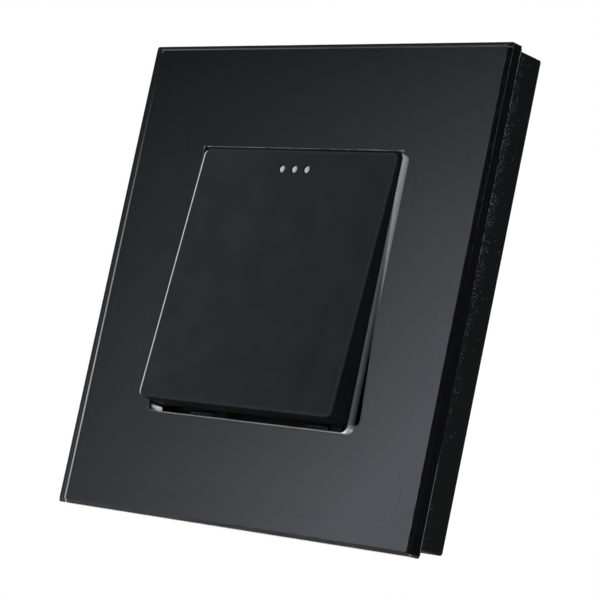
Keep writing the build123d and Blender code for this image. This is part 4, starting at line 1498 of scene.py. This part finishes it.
@dataclass
class Electronics(Assembly):
    """The board, its components with their terminals, and its cover."""

    board_out: float = 4.2 * MM
    capacitor_places: Places = ((1.2 * MM, 10.2 * MM), (6.4 * MM, 10.2 * MM))
    capacitor_half: float = 1.8 * MM
    capacitor_terminal: Span = (2.2 * MM, 0.9 * MM)
    diode_places: Places = tuple((11.0 * MM + 2.1 * MM * step, 12.6 * MM) for step in range(4))
    diode_half: float = 1.25 * MM
    diode_terminal: Span = (0.8 * MM, 0.6 * MM)
    solder_places: Places = ((-9.9 * MM, 5.5 * MM), (0.9 * MM, 5.5 * MM))
    solder_sides: int = 24
    solder_heap: Places = (
        (0.0, 0.0), (0.7, 0.0), (0.62, 0.05), (0.45, 0.17), (0.3, 0.27), (0.15, 0.32), (0.0, 0.33))
    cover_seat: float = 6.1 * MM
    cover_places: Places = ((-17.3 * MM, 7.2 * MM), (17.3 * MM, 7.2 * MM))

    def build(self) -> None:
        """Dresses the board's solids and adds the terminals, the solder and the screws."""
        self.dress(SolderMask("solder_mask", (0.006, 0.05, 0.022), (0.015, 0.1, 0.045)), "circuit_board")
        tin = self.dress(SheetSteel("tin_plate", (0.68, 0.68, 0.66), roughness=0.25), "shield_can", "antenna")
        self.dress(MouldedPlastic("black_epoxy", (0.02, 0.02, 0.02), grain_size=0.08 * MM),
                   "radio_chip", "rectifier_diodes")
        self.dress(MouldedPlastic("tantalum_case", (0.5, 0.25, 0.05), roughness=0.45, grain_size=0.08 * MM),
                   "storage_capacitors")
        self.dress(MilkyPlastic("lamp_resin", (0.75, 0.72, 0.55)), "indicator_leds")
        self.dress(MouldedPlastic("cover_plastic", (0.015, 0.015, 0.016), grain_size=0.2 * MM), "board_cover")
        zinc = SheetSteel("cover_screw", (0.62, 0.62, 0.58), roughness=0.28, grain=Grain.EVEN)
        PanScrew(self.cover_seat).fit(self.cover_places, "cover_screws", self.dress(zinc, "cover_screws"))
        TerminalRow("capacitor", self.capacitor_places, self.capacitor_half, *self.capacitor_terminal,
                    Lying.ALONG_X, self.board_out).fit(tin)
        TerminalRow("diode", self.diode_places, self.diode_half, *self.diode_terminal,
                    Lying.ALONG_Z, self.board_out).fit(tin)
        self.solder(tin)

    def solder(self, material: Material) -> None:
        """Puts a small heap of solder on each end of the coil's wires.

        Args:
            material: the solder's material.
        """
        heap = turned([(radius * MM, self.board_out + out * MM) for radius, out in self.solder_heap],
                      self.solder_sides)
        for step, (x, z) in enumerate(self.solder_places):
            enlist(twin(heap, f"solder_{step}", Vector((x, 0.0, z))), material)
        bpy.data.objects.remove(heap)


def main() -> None:
    """Loads the frame, and builds the studio and every sub-assembly."""
    logging.basicConfig(level=logging.INFO, format="%(message)s")
    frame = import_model()
    bpy.ops.object.select_all(action="DESELECT")
    bpy.context.scene.view_settings.view_transform = "Standard"
    Studio().build()
    for assembly in (GlassFront, Housing, Key, Generator, Electronics):
        assembly(frame["nodes"]).build()
        LOG.info("%s finished", assembly.__name__)


if __name__ == "__main__":
    main()
